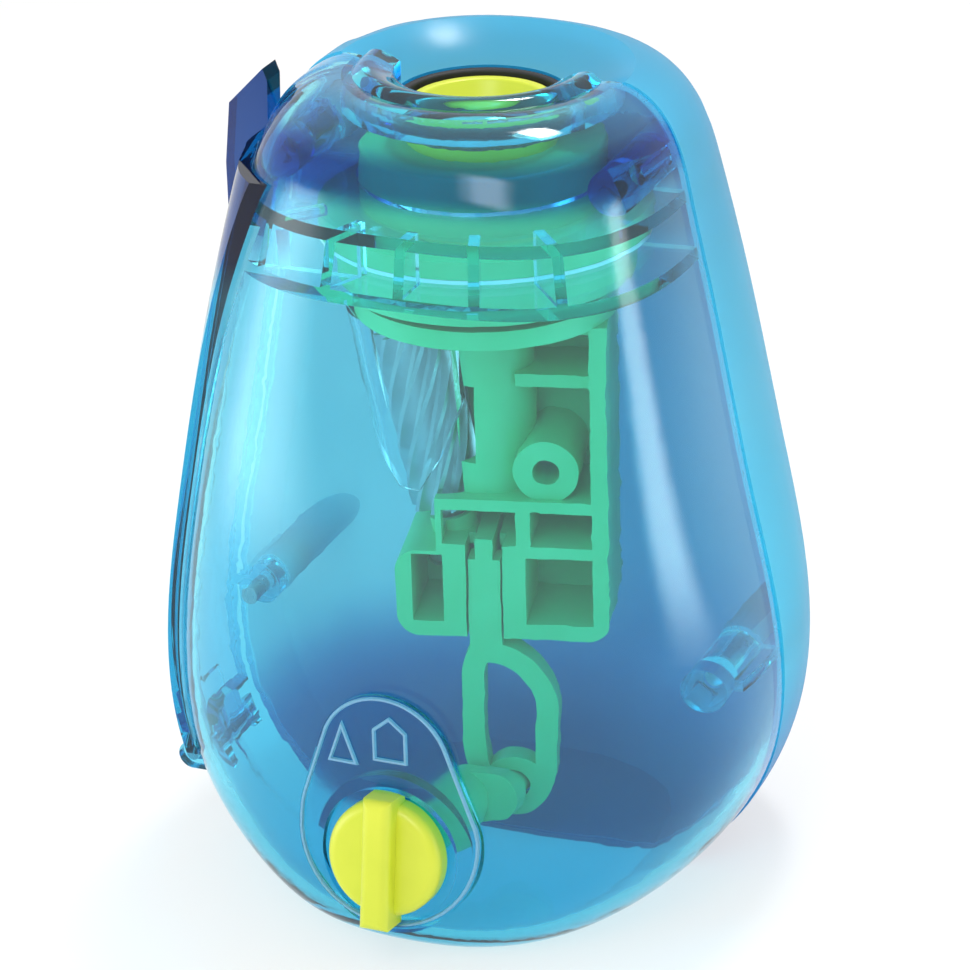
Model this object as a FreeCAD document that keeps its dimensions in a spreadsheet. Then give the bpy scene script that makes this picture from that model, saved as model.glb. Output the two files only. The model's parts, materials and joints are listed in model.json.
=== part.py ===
# Twist-operated pencil sharpener in a pear-shaped two-part case.
# The pencil drops into the port on top. Turning it turns the port and the ring gear,
# and the ring gear spins a slanted helical cutter in a fixed frame. A knob low on the
# front lifts or lowers the stop that sets a sharp or a blunt point.
# Frame: origin in the middle of the base, +Z up along the pencil, front towards -Y.
import FreeCAD
import Part
import Sketcher

import math
import os
import re

Vector = FreeCAD.Vector
UP = Vector(0, 0, 1)
BIG = 400.0

# Outer form from the base up: height, half width, depth in front of and behind the parting plane,
# and how square the cross section is (2 is an ellipse)
STATIONS = {
    "base": (0, 24, 31, 24.5, 2.4),
    "heel": (4, 29.5, 36, 29.5, 2.4),
    "hip": (12, 36.5, 37.4, 34.5, 2.5),
    "belly": (33, 41.3, 37.8, 37, 2.6),
    "waist": (58, 36.9, 36.4, 34.5, 2.9),
    "neck": (84, 31.8, 32, 30.5, 3.0),
    "shoulder": (97.5, 28.9, 29, 28.5, 2.9),
    "brow": (104.5, 27.2, 27.4, 27.2, 2.7),
    "crown": (109.6, 24.4, 24.4, 24.8, 2.5),
    "top": (112.4, 16.4, 16.4, 18.5, 2.0),
}
STATION_SIZES = ("height", "width", "front", "back", "squareness")

# Driving sizes in millimetres, degrees and counts
SIZES = {
    "front_wall": 2.0,
    "back_wall": 2.2,
    "back_proud": 0.25,
    # Collar round the port
    "collar_crest_height": 113.6,
    "collar_crest_radius": 15.0,
    "collar_outer_radius": 18.2,
    "port_hole_radius": 11.4,
    # Shelves that carry the rotor
    "shelf_thickness": 1.6,
    "lower_shelf_height": 89.6,
    "upper_shelf_height": 97.2,
    "shelf_clearance": 0.4,
    "turning_clearance": 0.3,
    # Rotor
    "ring_outer_radius": 19.8,
    "ring_flange_radius": 22.0,
    "ring_flange_thickness": 2.4,
    "ring_skirt_bottom": 84.6,
    "rotor_neck_radius": 16.2,
    "rotor_neck_top": 103.0,
    "rotor_roof_thickness": 2.0,
    "rotor_neck_wall": 2.0,
    "washer_thickness": 0.6,
    # Port
    "port_rim_radius": 9.8,
    "port_mouth_radius": 8.4,
    "port_top_height": 108.3,
    "port_tube_radius": 7.0,
    "port_tube_bottom": 93.0,
    "port_throat_height": 101.0,
    "pencil_bore_radius": 4.1,
    "seal_height": 1.8,
    "grip_height": 4.0,
    "grip_radius": 5.6,
    # Cutter and its gears
    "cutter_azimuth": 205.0,
    "cutter_tilt": 10.0,
    "point_tip_height": 50.0,
    "cutter_radius": 5.2,
    "cutter_start": 3.0,
    "cutter_length": 26.0,
    "cutter_blades": 11,
    "cutter_flute_depth": 1.3,
    "cutter_twist": 150.0,
    "shaft_radius": 1.6,
    "running_clearance": 0.05,
    "bush_radius": 2.4,
    "bush_length": 3.0,
    "bush_boss_radius": 3.2,
    "pinion_teeth": 12,
    "ring_teeth": 40,
    "gear_face": 4.6,
    "pinion_start": 36.2,
    "gear_backlash": 0.22,
    "clip_thickness": 0.8,
    "clip_radius": 2.6,
    # Frame
    "frame_turn": 14.0,
    "frame_left": 12.0,
    "frame_right": 16.8,
    "frame_bottom": 35.0,
    "frame_top": 80.3,
    "frame_step_height": 47.5,
    "frame_step_left": 6.4,
    "frame_front": 8.5,
    "frame_back": 6.5,
    "frame_wall": 2.2,
    "frame_plate": 2.0,
    "frame_corner": 3.0,
    "rib_thickness": 1.8,
    "upper_rib_height": 70.5,
    "nest_radius": 6.4,
    "frame_flange_radius": 17.5,
    "frame_flange_thickness": 2.6,
    "eye_across": 8.5,
    "eye_height": 59.1,
    "eye_radius": 4.4,
    "eye_hole_radius": 1.8,
    "rail_inner": 2.5,
    "rail_outer": 5.6,
    "window_bottom": 48.6,
    "window_top": 53.6,
    # Point selector
    "selector_tilt": 9.0,
    "crank_depth": 10.5,
    "crank_height": 12.2,
    "crank_radius": 5.0,
    "crank_rest_angle": 12.0,
    "crank_pin_radius": 1.8,
    "crank_hub_radius": 4.0,
    "crank_arm_thickness": 3.0,
    "crank_pin_length": 6.6,
    "spigot_radius": 2.2,
    "knob_radius": 8.0,
    "knob_thickness": 3.2,
    "knob_bar_width": 4.0,
    "knob_bar_height": 2.8,
    "knob_bar_overhang": 1.0,
    "knob_recess": 1.0,
    "plate_proud": 0.7,
    "plate_radius": 13.0,
    "plate_rise": 3.0,
    "plate_top_radius": 9.5,
    "plate_top_rise": 13.5,
    "slide_clearance": 0.3,
    "slider_thickness": 3.4,
    "stop_height": 49.4,
    "stop_radius": 1.2,
    "slider_arm_width": 3.0,
    "foot_radius": 4.4,
    "loop_right": 9.4,
    # Fasteners and bosses
    "boss_radius": 3.0,
    "boss_upper_across": 22.8,
    "boss_upper_height": 102.8,
    "boss_lower_across": 34.5,
    "boss_lower_height": 35.0,
    "boss_front_length": 14.0,
    "screw_radius": 1.25,
    "screw_head_radius": 2.4,
    "screw_head_height": 1.8,
    "screw_grip": 6.0,
    "screw_bite": 8.0,
    "head_clearance": 0.4,
    "frame_screw_upper_across": 12.6,
    "frame_screw_upper_height": 75.0,
    "frame_screw_lower_across": -8.4,
    "frame_screw_lower_height": 40.5,
    "frame_boss_length": 4.0,
    # Shavings door on the left side
    "door_front": 22.0,
    "door_rear": 3.0,
    "door_low": 20.0,
    "door_high": 96.0,
    "door_overlap": 1.8,
    "door_rise": 6.5,
    "door_gap": 0.35,
    "door_wall": 1.4,
    "door_tab_reach": 6.4,
    "door_tab_width": 4.0,
    "hinge_height": 14.5,
    "hinge_stand": 0.9,
    "hinge_middle": 10.0,
    "hinge_barrel_length": 10.0,
    "hinge_barrel_radius": 1.6,
    "hinge_pin_radius": 0.9,
    "hinge_lug_width": 2.4,
}
for station, measures in STATIONS.items():
    for measure, value in zip(STATION_SIZES, measures):
        SIZES[f"{station}_{measure}"] = value

doc = FreeCAD.newDocument("twist_sharpener")
sheet = doc.addObject("Spreadsheet::Sheet", "sizes")
for row, (name, value) in enumerate(SIZES.items(), 1):
    sheet.set(f"A{row}", name)
    sheet.set(f"B{row}", str(value))
    sheet.setAlias(f"B{row}", name)
doc.recompute()


def bound(text):
    """An expression in size names, with each name pointing into the sheet."""
    return re.sub(r"[a-z][a-z_]+", lambda m: "sizes." + m[0] if m[0] in SIZES else m[0], text)


def size(text):
    """The present value of an expression in size names."""
    return float(sheet.evalExpression(bound(text)))


def direction(azimuth, tilt=0.0):
    """Unit vector that leans from +Z towards an azimuth by a tilt, both in degrees."""
    a, t = math.radians(azimuth), math.radians(tilt)
    return Vector(math.cos(a) * math.sin(t), math.sin(a) * math.sin(t), math.cos(t))


def along(point, axis):
    """Placement that puts the origin at a point and local +Z along an axis."""
    return FreeCAD.Placement(point, FreeCAD.Rotation(UP, axis))


def plane_of(body, role):
    return next(f for f in body.Origin.OriginFeatures if f.Role == role)


def outline(body, name, role, points, lift="0"):
    """Closed polygon sketch on an origin plane; each corner is a pair of expressions."""
    sketch = body.newObject("Sketcher::SketchObject", name)
    sketch.AttachmentSupport = [(plane_of(body, role), "")]
    sketch.MapMode = "FlatFace"
    sketch.setExpression("AttachmentOffset.Base.z", bound(lift))
    corners = [Vector(size(x), size(y), 0) for x, y in points]
    count = len(corners)
    for k in range(count):
        sketch.addGeometry(Part.LineSegment(corners[k], corners[(k + 1) % count]))
    for k in range(count):
        sketch.addConstraint(Sketcher.Constraint("Coincident", k, 2, (k + 1) % count, 1))
    for k, pair in enumerate(points):
        for kind, text, value in zip(("DistanceX", "DistanceY"), pair, corners[k]):
            at = sketch.addConstraint(Sketcher.Constraint(kind, -1, 1, k, 1, value))
            sketch.setExpression(f"Constraints[{at}]", bound(text))
    return sketch


def ring_outline(body, name, role, circles, lift="0"):
    """Sketch of circles on an origin plane; each circle is centre x, centre y and radius."""
    sketch = body.newObject("Sketcher::SketchObject", name)
    sketch.AttachmentSupport = [(plane_of(body, role), "")]
    sketch.MapMode = "FlatFace"
    sketch.setExpression("AttachmentOffset.Base.z", bound(lift))
    for k, (x, y, radius) in enumerate(circles):
        centre = Vector(size(x), size(y), 0)
        sketch.addGeometry(Part.Circle(centre, UP, size(radius)))
        at = sketch.addConstraint(Sketcher.Constraint("Radius", k, size(radius)))
        sketch.setExpression(f"Constraints[{at}]", bound(radius))
        for kind, text, value in (("DistanceX", x, centre.x), ("DistanceY", y, centre.y)):
            at = sketch.addConstraint(Sketcher.Constraint(kind, -1, 1, k, 3, value))
            sketch.setExpression(f"Constraints[{at}]", bound(text))
    return sketch


def new_body(label):
    body = doc.addObject("PartDesign::Body", label)
    body.Label = label
    return body


def turn_profile(label, points):
    """Body turned about Z from a profile of (radius, height) expressions."""
    body = new_body(label)
    sketch = outline(body, label + "_profile", "XZ_Plane", points)
    turned = body.newObject("PartDesign::Revolution", label + "_turned")
    turned.Profile = sketch
    turned.ReferenceAxis = (sketch, ["V_Axis"])
    turned.Angle = 360
    doc.recompute()
    return body


def pad(body, sketch, length, reverse=False):
    feature = body.newObject("PartDesign::Pad", sketch.Name + "_pad")
    feature.Profile = sketch
    feature.setExpression("Length", bound(length))
    feature.Reversed = reverse
    doc.recompute()
    return feature


def pocket(body, sketch, depth, reverse=False):
    """Cut from a sketch; a cut that removes nothing is an error."""
    before = body.Shape.Volume
    feature = body.newObject("PartDesign::Pocket", sketch.Name + "_cut")
    feature.Profile = sketch
    feature.setExpression("Length", bound(depth))
    feature.Reversed = reverse
    doc.recompute()
    if body.Shape.Volume > before - 1e-6:
        raise RuntimeError(f"{feature.Name} removed nothing")
    return feature


def round_edges(body, name, radius, chosen):
    """Fillet on the edges of the body's present shape that a test picks."""
    base = body.Tip
    names = [f"Edge{k}" for k, edge in enumerate(base.Shape.Edges, 1) if chosen(edge)]
    if not names:
        raise RuntimeError(f"{name} found no edge")
    feature = body.newObject("PartDesign::Fillet", name)
    feature.Base = (base, names)
    feature.setExpression("Radius", bound(radius))
    doc.recompute()
    return feature


def circle_at(edge, height):
    """True for a whole circle at a height on the turning axis."""
    return isinstance(edge.Curve, Part.Circle) and abs(edge.Curve.Center.z - height) < 1e-6


def solid(label, shape):
    """Sub-part from a ready shape."""
    feature = doc.addObject("Part::Feature", label)
    feature.Label = label
    feature.Shape = shape.removeSplitter()
    return feature


def tube(point, axis, length, outer, inner=0.0):
    """Plain cylinder or tube from a point along an axis."""
    shape = Part.makeCylinder(outer, length, point, axis)
    if inner > 0:
        shape = shape.cut(Part.makeCylinder(inner, length, point, axis))
    return shape


# Case form
def half_section(height, width, depth, squareness, side):
    """Half of a superellipse with a strip past the parting plane; side is -1 in front and 1 behind."""
    steps = 12
    power = 2 / squareness
    points = []
    for k in range(steps + 1):
        angle = math.pi * k / steps
        across = math.copysign(abs(math.cos(angle)) ** power, math.cos(angle))
        if 2 * k == steps:
            across = 0.0
        points.append(Vector(width * across, side * depth * abs(math.sin(angle)) ** power, height))
    points[0].y = points[-1].y = 0
    curve = Part.BSplineCurve()
    curve.interpolate(points, InitialTangent=Vector(0, side, 0), FinalTangent=Vector(0, -side, 0))
    strip = Vector(0, -2 * side, 0)
    corners = [points[-1], points[-1] + strip, points[0] + strip, points[0]]
    return Part.Wire([curve.toShape()] + [Part.makeLine(a, b) for a, b in zip(corners, corners[1:])])


def case_half(side, inset):
    """Solid of one half of the case, shrunk by an inset square to its outline."""
    depth_name = "front" if side < 0 else "back"
    rows = [[size(f"{s}_{m}") for m in ("height", "width", depth_name, "squareness")] for s in STATIONS]
    sections = []
    for k, (height, width, depth, squareness) in enumerate(rows):
        below, above = rows[max(k - 1, 0)], rows[min(k + 1, len(rows) - 1)]
        rise = above[0] - below[0]
        run = above[1] - below[1]
        reach = math.hypot(rise, run)
        shift_out, shift_up = inset * rise / reach, -inset * run / reach
        if k == 0:
            shift_out, shift_up = 0.3 * inset, -inset
        elif k == len(rows) - 1:
            shift_out, shift_up = 0.5 * inset, inset
        sections.append(half_section(height - shift_up, width - shift_out, depth - shift_out, squareness, side))
    return Part.makeLoft(sections, True, False)


def half_space(side):
    """Box on one side of the parting plane."""
    return Part.makeBox(BIG, BIG, BIG, Vector(-BIG / 2, 0 if side > 0 else -BIG, -BIG / 2))


floor_space = Part.makeBox(BIG, BIG, BIG, Vector(-BIG / 2, -BIG / 2, 0))
outer = {
    -1: case_half(-1, 0.0),
    1: case_half(1, -size("back_proud")).common(floor_space),
}
inner = {
    -1: case_half(-1, size("front_wall")),
    1: case_half(1, size("back_wall")),
}


def reach(shape, point, axis):
    """Distance from an inner point along an axis to where it leaves a solid."""
    line = shape.common(Part.makeLine(point, point + axis * BIG))
    return max((vertex.Point - point).dot(axis) for vertex in line.Vertexes)


# Collar: a rounded lip round the port with a ledge for the seal
seal_seat = size("port_top_height - 1.2")
crest_radius, crest_height = size("collar_crest_radius"), size("collar_crest_height")
hole_radius, collar_radius = size("port_hole_radius"), size("collar_outer_radius")
roof = size("top_height")


def collar():
    """Lip round the port and the well below it."""
    lip = [
        Vector(hole_radius - 1.8, 0, crest_height - 2.2),
        Vector((hole_radius + crest_radius) / 2, 0, crest_height - 0.35),
        Vector(crest_radius, 0, crest_height),
        Vector(crest_radius * 0.45 + collar_radius * 0.55, 0, crest_height - 1.1),
        Vector(collar_radius, 0, roof - 1.2),
    ]
    curve = Part.BSplineCurve()
    curve.interpolate(lip)
    foot = seal_seat - 1.2
    well_radius = hole_radius + size("front_wall")
    corners = [
        lip[-1],
        Vector(collar_radius, 0, roof - 4.4),
        Vector(well_radius, 0, roof - 4.4),
        Vector(well_radius, 0, foot),
        Vector(hole_radius - 1.8, 0, foot),
        lip[0],
    ]
    wire = Part.Wire([curve.toShape()] + [Part.makeLine(a, b) for a, b in zip(corners, corners[1:])])
    return Part.Face(wire).revolve(Vector(), UP, 360)


def dish():
    """Room above the back's funnel, which runs from the dome down to the top of the seal."""
    low = seal_seat + size("seal_height + 0.2")
    slope = Part.BSplineCurve()
    slope.interpolate([
        Vector(hole_radius - 0.4, 0, low),
        Vector(hole_radius + 3, 0, low + 0.9),
        Vector(collar_radius, 0, roof - 0.5),
        Vector(collar_radius + 5, 0, roof + 1.6),
    ])
    ceiling = roof + 10
    corners = [
        Vector(collar_radius + 5, 0, roof + 1.6),
        Vector(collar_radius + 5, 0, ceiling),
        Vector(0, 0, ceiling),
        Vector(0, 0, low),
        Vector(hole_radius - 0.4, 0, low),
    ]
    wire = Part.Wire([slope.toShape()] + [Part.makeLine(a, b) for a, b in zip(corners, corners[1:])])
    return Part.Face(wire).revolve(Vector(), UP, 360)


# Shelves across each half that carry the rotor, tied by small upright ribs
def shelf(side, bottom, hole):
    slab = Part.makeBox(BIG, BIG, size("shelf_thickness"), Vector(-BIG / 2, -BIG / 2, bottom))
    return slab.common(inner[side]).cut(tube(Vector(0, 0, bottom - 1), UP, 10, hole))


neck_hole = size("rotor_neck_radius + turning_clearance")
skirt_hole = size("ring_outer_radius + shelf_clearance")
lower_shelf, upper_shelf = size("lower_shelf_height"), size("upper_shelf_height")


SHELF_RIB = 1.4


def shelf_ribs(side):
    """Short upright ribs between the two shelves, spread round the rotor."""
    ribs = []
    for angle in (50, 70, 90, 110, 130):
        start = Vector(size("ring_flange_radius + 0.8"), -SHELF_RIB / 2, lower_shelf)
        rib = Part.makeBox(BIG, SHELF_RIB, upper_shelf - lower_shelf, start)
        rib.rotate(Vector(), UP, side * angle)
        ribs.append(rib.common(inner[side]))
    return ribs


# Screw bosses that close the case
BOSSES = [
    (side * size(f"boss_{row}_across"), size(f"boss_{row}_height"))
    for row in ("upper", "lower")
    for side in (-1, 1)
]
boss_radius = size("boss_radius")
screw_radius = size("screw_radius")
screw_grip = size("screw_grip")
pocket_radius = size("screw_head_radius + head_clearance")


WEB_REACH, WEB_DEPTH, WEB_THICK = 10, 12, 1.6


def boss(side, across, height):
    """Boss from the parting plane, with a web to the side wall."""
    length = size("boss_front_length") if side < 0 else BIG
    post = Part.makeCylinder(boss_radius, length + 1, Vector(across, -side, height), Vector(0, side, 0))
    left = across if across > 0 else across - WEB_REACH
    front_face = -1 if side > 0 else 1 - WEB_DEPTH
    web = Part.makeBox(WEB_REACH, WEB_DEPTH, WEB_THICK, Vector(left, front_face, height - WEB_THICK / 2))
    return post.fuse(web).common(outer[side])


def shell(side):
    parts = [collar(), shelf(side, lower_shelf, skirt_hole), shelf(side, upper_shelf, neck_hole)]
    parts += shelf_ribs(side)
    parts += [boss(side, across, height) for across, height in BOSSES]
    shape = outer[side].cut(inner[side]).fuse(parts).common(half_space(side))
    if side > 0:
        shape = shape.cut(dish())
    shape = shape.cut(tube(Vector(0, 0, seal_seat), UP, BIG, hole_radius))
    return shape.cut(tube(Vector(0, 0, upper_shelf + 2), UP, BIG, size("port_rim_radius + 0.6")))


front = shell(-1)
back = shell(1)
for across, height in BOSSES:
    at = Vector(across, 0, height)
    front = front.cut(tube(at, Vector(0, -1, 0), size("screw_bite"), screw_radius + 0.02))
    back = back.cut(tube(at, Vector(0, 1, 0), BIG, screw_radius + 0.25))
    back = back.cut(tube(at + Vector(0, screw_grip, 0), Vector(0, 1, 0), BIG, pocket_radius))


def screw(under_head, axis, length):
    """Pan-head screw; axis points from the head along the shank."""
    radius, height = size("screw_head_radius"), size("screw_head_height")
    head = Part.makeCylinder(radius, height, under_head - axis * height, axis)
    circles = [e for e in head.Edges if isinstance(e.Curve, Part.Circle)]
    rim = [e for e in circles if (e.Curve.Center - under_head).Length > 0.1]
    head = head.makeFillet(0.6, rim)
    return head.fuse(Part.makeCylinder(screw_radius, length, under_head, axis))


shell_screws = [
    screw(Vector(across, screw_grip, height), Vector(0, -1, 0), size("screw_grip + screw_bite - 0.6"))
    for across, height in BOSSES
]

# Cutter axis: it leans so that the cutter's inner side lies along the pencil's point
tilt = size("cutter_tilt")
lean = direction(size("cutter_azimuth"), tilt)
square_out = direction(size("cutter_azimuth"), tilt + 90)
tip = Vector(0, 0, size("point_tip_height"))
cutter_radius = size("cutter_radius")
cutter_origin = tip + square_out * cutter_radius


def on_cutter(distance):
    """Point on the cutter's axis at a distance along it."""
    return cutter_origin + lean * distance


cutter_start, cutter_length = size("cutter_start"), size("cutter_length")
cutter_end = cutter_start + cutter_length
bush_length = size("bush_length")
upper_bush_start = cutter_end + 2.7
lower_bush_start = -bush_length
shaft_radius = size("shaft_radius")
pinion_start, gear_face = size("pinion_start"), size("gear_face")
shaft_start = lower_bush_start - 1.8
shaft_end = pinion_start + gear_face + 0.6


def cutter_section(distance, turn):
    """Saw-tooth cross section of the cutter, square to its axis."""
    blades = int(size("cutter_blades"))
    gullet = cutter_radius - size("cutter_flute_depth")
    corners = []
    for k in range(blades):
        tooth = ((0.0, cutter_radius), (0.22, cutter_radius - 0.12), (0.7, gullet), (0.94, gullet))
        for share, radius in tooth:
            angle = 2 * math.pi * (k + share) / blades + math.radians(turn)
            corners.append(Vector(radius * math.cos(angle), radius * math.sin(angle), distance))
    return Part.makePolygon(corners + corners[:1])


turns = 14
helix = [
    cutter_section(cutter_start + cutter_length * k / turns, size("cutter_twist") * k / turns)
    for k in range(turns + 1)
]
cutter_shape = Part.makeLoft(helix, True, True)
cutter_shape = cutter_shape.cut(tube(Vector(0, 0, -5), UP, BIG, shaft_radius + 0.02))
cutter_shape.Placement = along(cutter_origin, lean)

# Gears: involute teeth; the ring's spaces are shaped like the teeth of an outer gear
ring_teeth, pinion_teeth = int(size("ring_teeth")), int(size("pinion_teeth"))
pressure = math.radians(20)
lean_sin, lean_cos = math.sin(math.radians(tilt)), math.cos(math.radians(tilt))
middle = pinion_start + gear_face / 2
ring_pitch = (cutter_radius * lean_cos + middle * lean_sin) / (1 - lean_cos * pinion_teeth / ring_teeth)
module = 2 * ring_pitch / ring_teeth
backlash = size("gear_backlash")


def gear_wire(teeth, pitch, addendum, dedendum, thinning, height, turn=0.0):
    """Closed outline of a gear with involute flanks at a height."""
    base = pitch * math.cos(pressure)

    def roll(radius):
        return math.tan(math.acos(base / radius)) - math.acos(base / radius)

    half = math.pi / (2 * teeth) - thinning / (2 * pitch)
    low, high = pitch - dedendum, pitch + addendum
    flank = []
    for k in range(5):
        radius = low + (high - low) * k / 4
        flank.append((radius, half + roll(pitch) - roll(max(radius, base))))
    corners = []
    for k in range(teeth):
        centre = 2 * math.pi * k / teeth + turn
        sides = [(r, centre - a) for r, a in flank] + [(r, centre + a) for r, a in reversed(flank)]
        corners += [Vector(r * math.cos(a), r * math.sin(a), height) for r, a in sides]
    return Part.makePolygon(corners + corners[:1])


def pinion_pitch(distance):
    """Pitch radius of the tapered pinion, so that its outer side stays upright."""
    return (ring_pitch - cutter_radius * lean_cos - distance * lean_sin) / lean_cos


# A tooth space of the ring and a tooth of the pinion face each other at the cutter's azimuth
ring_turn = math.radians(size("cutter_azimuth"))
pinion_ends = []
for distance in (pinion_start, pinion_start + gear_face):
    pitch = pinion_pitch(distance)
    share = pitch / pinion_pitch(middle) * module
    pinion_ends.append(gear_wire(pinion_teeth, pitch, 0.75 * share, 1.1 * share, backlash, distance, math.pi))
pinion_shape = Part.makeLoft(pinion_ends, True, True)
pinion_shape = pinion_shape.cut(tube(Vector(0, 0, 0), UP, BIG, shaft_radius + 0.02))
pinion_shape.Placement = along(cutter_origin, lean)

# Rotor: port, grip, ring gear and the washer it slides on
pencil_port = turn_profile("pencil_port", [
    ("grip_radius", "port_tube_bottom"),
    ("port_tube_radius", "port_tube_bottom"),
    ("port_tube_radius", "rotor_neck_top"),
    ("port_rim_radius", "rotor_neck_top"),
    ("port_rim_radius", "port_top_height"),
    ("port_mouth_radius", "port_top_height"),
    ("pencil_bore_radius", "port_throat_height"),
    ("pencil_bore_radius", "port_tube_bottom + grip_height"),
    ("grip_radius", "port_tube_bottom + grip_height"),
])
round_edges(pencil_port, "port_rim_round", "0.5", lambda e: circle_at(e, size("port_top_height")))

pencil_grip = turn_profile("pencil_grip", [
    ("pencil_bore_radius - 0.35", "port_tube_bottom"),
    ("grip_radius", "port_tube_bottom"),
    ("grip_radius", "port_tube_bottom + grip_height"),
    ("pencil_bore_radius - 0.35", "port_tube_bottom + grip_height"),
])

flange_bottom = "lower_shelf_height + shelf_thickness + washer_thickness"
flange_top = flange_bottom + " + ring_flange_thickness"
ring_root = ring_pitch + 1.1 * module
ring_blank = turn_profile("ring_blank", [
    ("port_tube_radius", "rotor_neck_top - rotor_roof_thickness"),
    ("rotor_neck_radius - rotor_neck_wall", "rotor_neck_top - rotor_roof_thickness"),
    ("rotor_neck_radius - rotor_neck_wall", flange_bottom + " + 0.6"),
    (f"{ring_root:.5f}", flange_bottom + " + 0.6"),
    (f"{ring_root:.5f}", "ring_skirt_bottom"),
    ("ring_outer_radius", "ring_skirt_bottom"),
    ("ring_outer_radius", flange_bottom),
    ("ring_flange_radius", flange_bottom),
    ("ring_flange_radius", flange_top),
    ("rotor_neck_radius", flange_top),
    ("rotor_neck_radius", "rotor_neck_top"),
    ("port_tube_radius", "rotor_neck_top"),
])
round_edges(
    ring_blank,
    "ring_rounds",
    "0.6",
    lambda e: circle_at(e, size("rotor_neck_top")) and e.Curve.Radius > size("rotor_neck_radius") - 0.1,
)
skirt_bottom = size("ring_skirt_bottom")
spaces = gear_wire(ring_teeth, ring_pitch, 1.1 * module, 0.7 * module, -backlash, skirt_bottom, ring_turn)
rim = Part.Wire(Part.makeCircle(ring_root + 0.4, Vector(0, 0, skirt_bottom)))
toothing = Part.Face([rim, spaces]).extrude(UP * gear_face)
ring_gear = solid("ring_gear", ring_blank.Shape.fuse(toothing))

rotor_washer = turn_profile("rotor_washer", [
    ("ring_outer_radius + shelf_clearance", "lower_shelf_height + shelf_thickness"),
    ("ring_flange_radius", "lower_shelf_height + shelf_thickness"),
    ("ring_flange_radius", flange_bottom + " - running_clearance"),
    ("ring_outer_radius + shelf_clearance", flange_bottom + " - running_clearance"),
])
port_seal = turn_profile("port_seal", [
    ("port_rim_radius + 0.4", "port_top_height - 1.2"),
    ("port_hole_radius - 0.02", "port_top_height - 1.2"),
    ("port_hole_radius - 0.02", "port_top_height - 1.2 + seal_height"),
    ("port_rim_radius + 0.4", "port_top_height - 1.2 + seal_height"),
])
seal_top = seal_seat + size("seal_height")
round_edges(port_seal, "seal_round", "0.4", lambda e: circle_at(e, seal_top))


# Rods, bushes and the clip on the cutter's axis
def axis_tube(label, start, length, outer_radius, inner_radius):
    """Turned tube on the cutter's axis; radii are expressions, places are distances along it."""
    body = new_body(label)
    circles = [("0", "0", outer_radius)]
    if inner_radius:
        circles.append(("0", "0", inner_radius))
    pad(body, ring_outline(body, label + "_circles", "XY_Plane", circles), length)
    body.Placement = along(on_cutter(start), lean)
    return body


cutter_shaft = axis_tube("cutter_shaft", shaft_start, f"{shaft_end - shaft_start:.5f}", "shaft_radius", "")
running_bore = "shaft_radius + running_clearance"
upper_bush = axis_tube("upper_bush", upper_bush_start, "bush_length", "bush_radius", running_bore)
lower_bush = axis_tube("lower_bush", lower_bush_start, "bush_length", "bush_radius", running_bore)
shaft_clip = axis_tube(
    "shaft_clip",
    lower_bush_start - 0.2 - size("clip_thickness"),
    "clip_thickness",
    "clip_radius",
    "shaft_radius + 0.02",
)
helical_cutter = solid("helical_cutter", cutter_shape)
cutter_pinion = solid("cutter_pinion", pinion_shape)

# Cutter frame, drawn square to its own axes and then turned about the pencil
frame = new_body("frame_blank")
plate_depth = "frame_front + frame_back - frame_plate"


def box_outline(name, left, right, bottom, top, lift="frame_front"):
    corners = [(left, bottom), (right, bottom), (right, top), (left, top)]
    return outline(frame, name, "XZ_Plane", corners, lift)


silhouette = outline(frame, "frame_outline", "XZ_Plane", [
    ("-frame_left", "frame_bottom"),
    ("frame_right", "frame_bottom"),
    ("frame_right", "frame_top"),
    ("-frame_step_left", "frame_top"),
    ("-frame_step_left", "frame_step_height"),
    ("-frame_left", "frame_step_height"),
], "frame_front")
pad(frame, silhouette, "frame_front + frame_back", True)


def outer_corner(edge):
    """True for the upright-drawn corners at the frame's foot and left step."""
    ends = [v.Point for v in edge.Vertexes]
    if abs(abs(ends[0].y - ends[1].y) - size("frame_front + frame_back")) > 1e-3:
        return False
    low = abs(ends[0].z - size("frame_bottom")) < 1e-3
    left = abs(ends[0].x + size("frame_left")) < 1e-3
    return low or left


round_edges(frame, "frame_corners", "frame_corner", outer_corner)
inside_left, inside_right = "-frame_left + frame_wall", "frame_right - frame_wall"
web_top = "window_top + 1.6"
upper_room = box_outline("upper_room", "-frame_step_left - 1", inside_right, web_top, "frame_top")
pocket(frame, upper_room, plate_depth)
pocket(
    frame,
    box_outline("lower_room", inside_left, inside_right, "frame_bottom + frame_wall", "window_bottom - 1.6"),
    plate_depth,
)
side_room = box_outline("side_room", "rail_outer + 0.8", inside_right, "window_bottom", "window_top")
pocket(frame, side_room, plate_depth)
stop_window = box_outline("stop_window", "-rail_outer", "rail_outer - 1.2", "window_bottom", "window_top")
pocket(frame, stop_window, plate_depth)
nest = ring_outline(frame, "nest_circle", "XY_Plane", [("0", "0", "nest_radius")], "window_top + 1")
pad(frame, nest, "frame_top - window_top - 1")
rib_depth = "nest_radius - 0.9 + frame_back - frame_plate + 0.2"
for name, height in (("upper_rib", "upper_rib_height"), ("top_rib", "frame_top - rib_thickness - 0.4")):
    rib_top, rib_face = height + " + rib_thickness", "nest_radius - 0.9"
    rib = box_outline(name, "nest_radius - 2", inside_right + " + 0.2", height, rib_top, rib_face)
    pad(frame, rib, rib_depth, True)
eye_circle = [("eye_across", "eye_height", "eye_radius")]
eye = ring_outline(frame, "eye_circle", "XZ_Plane", eye_circle, "frame_front - 1")
pad(frame, eye, plate_depth + " - 0.8", True)
hole_circle = [("eye_across", "eye_height", "eye_hole_radius")]
eye_hole = ring_outline(frame, "eye_hole", "XZ_Plane", hole_circle, "frame_front")
pocket(frame, eye_hole, "frame_front + frame_back + 1")
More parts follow.
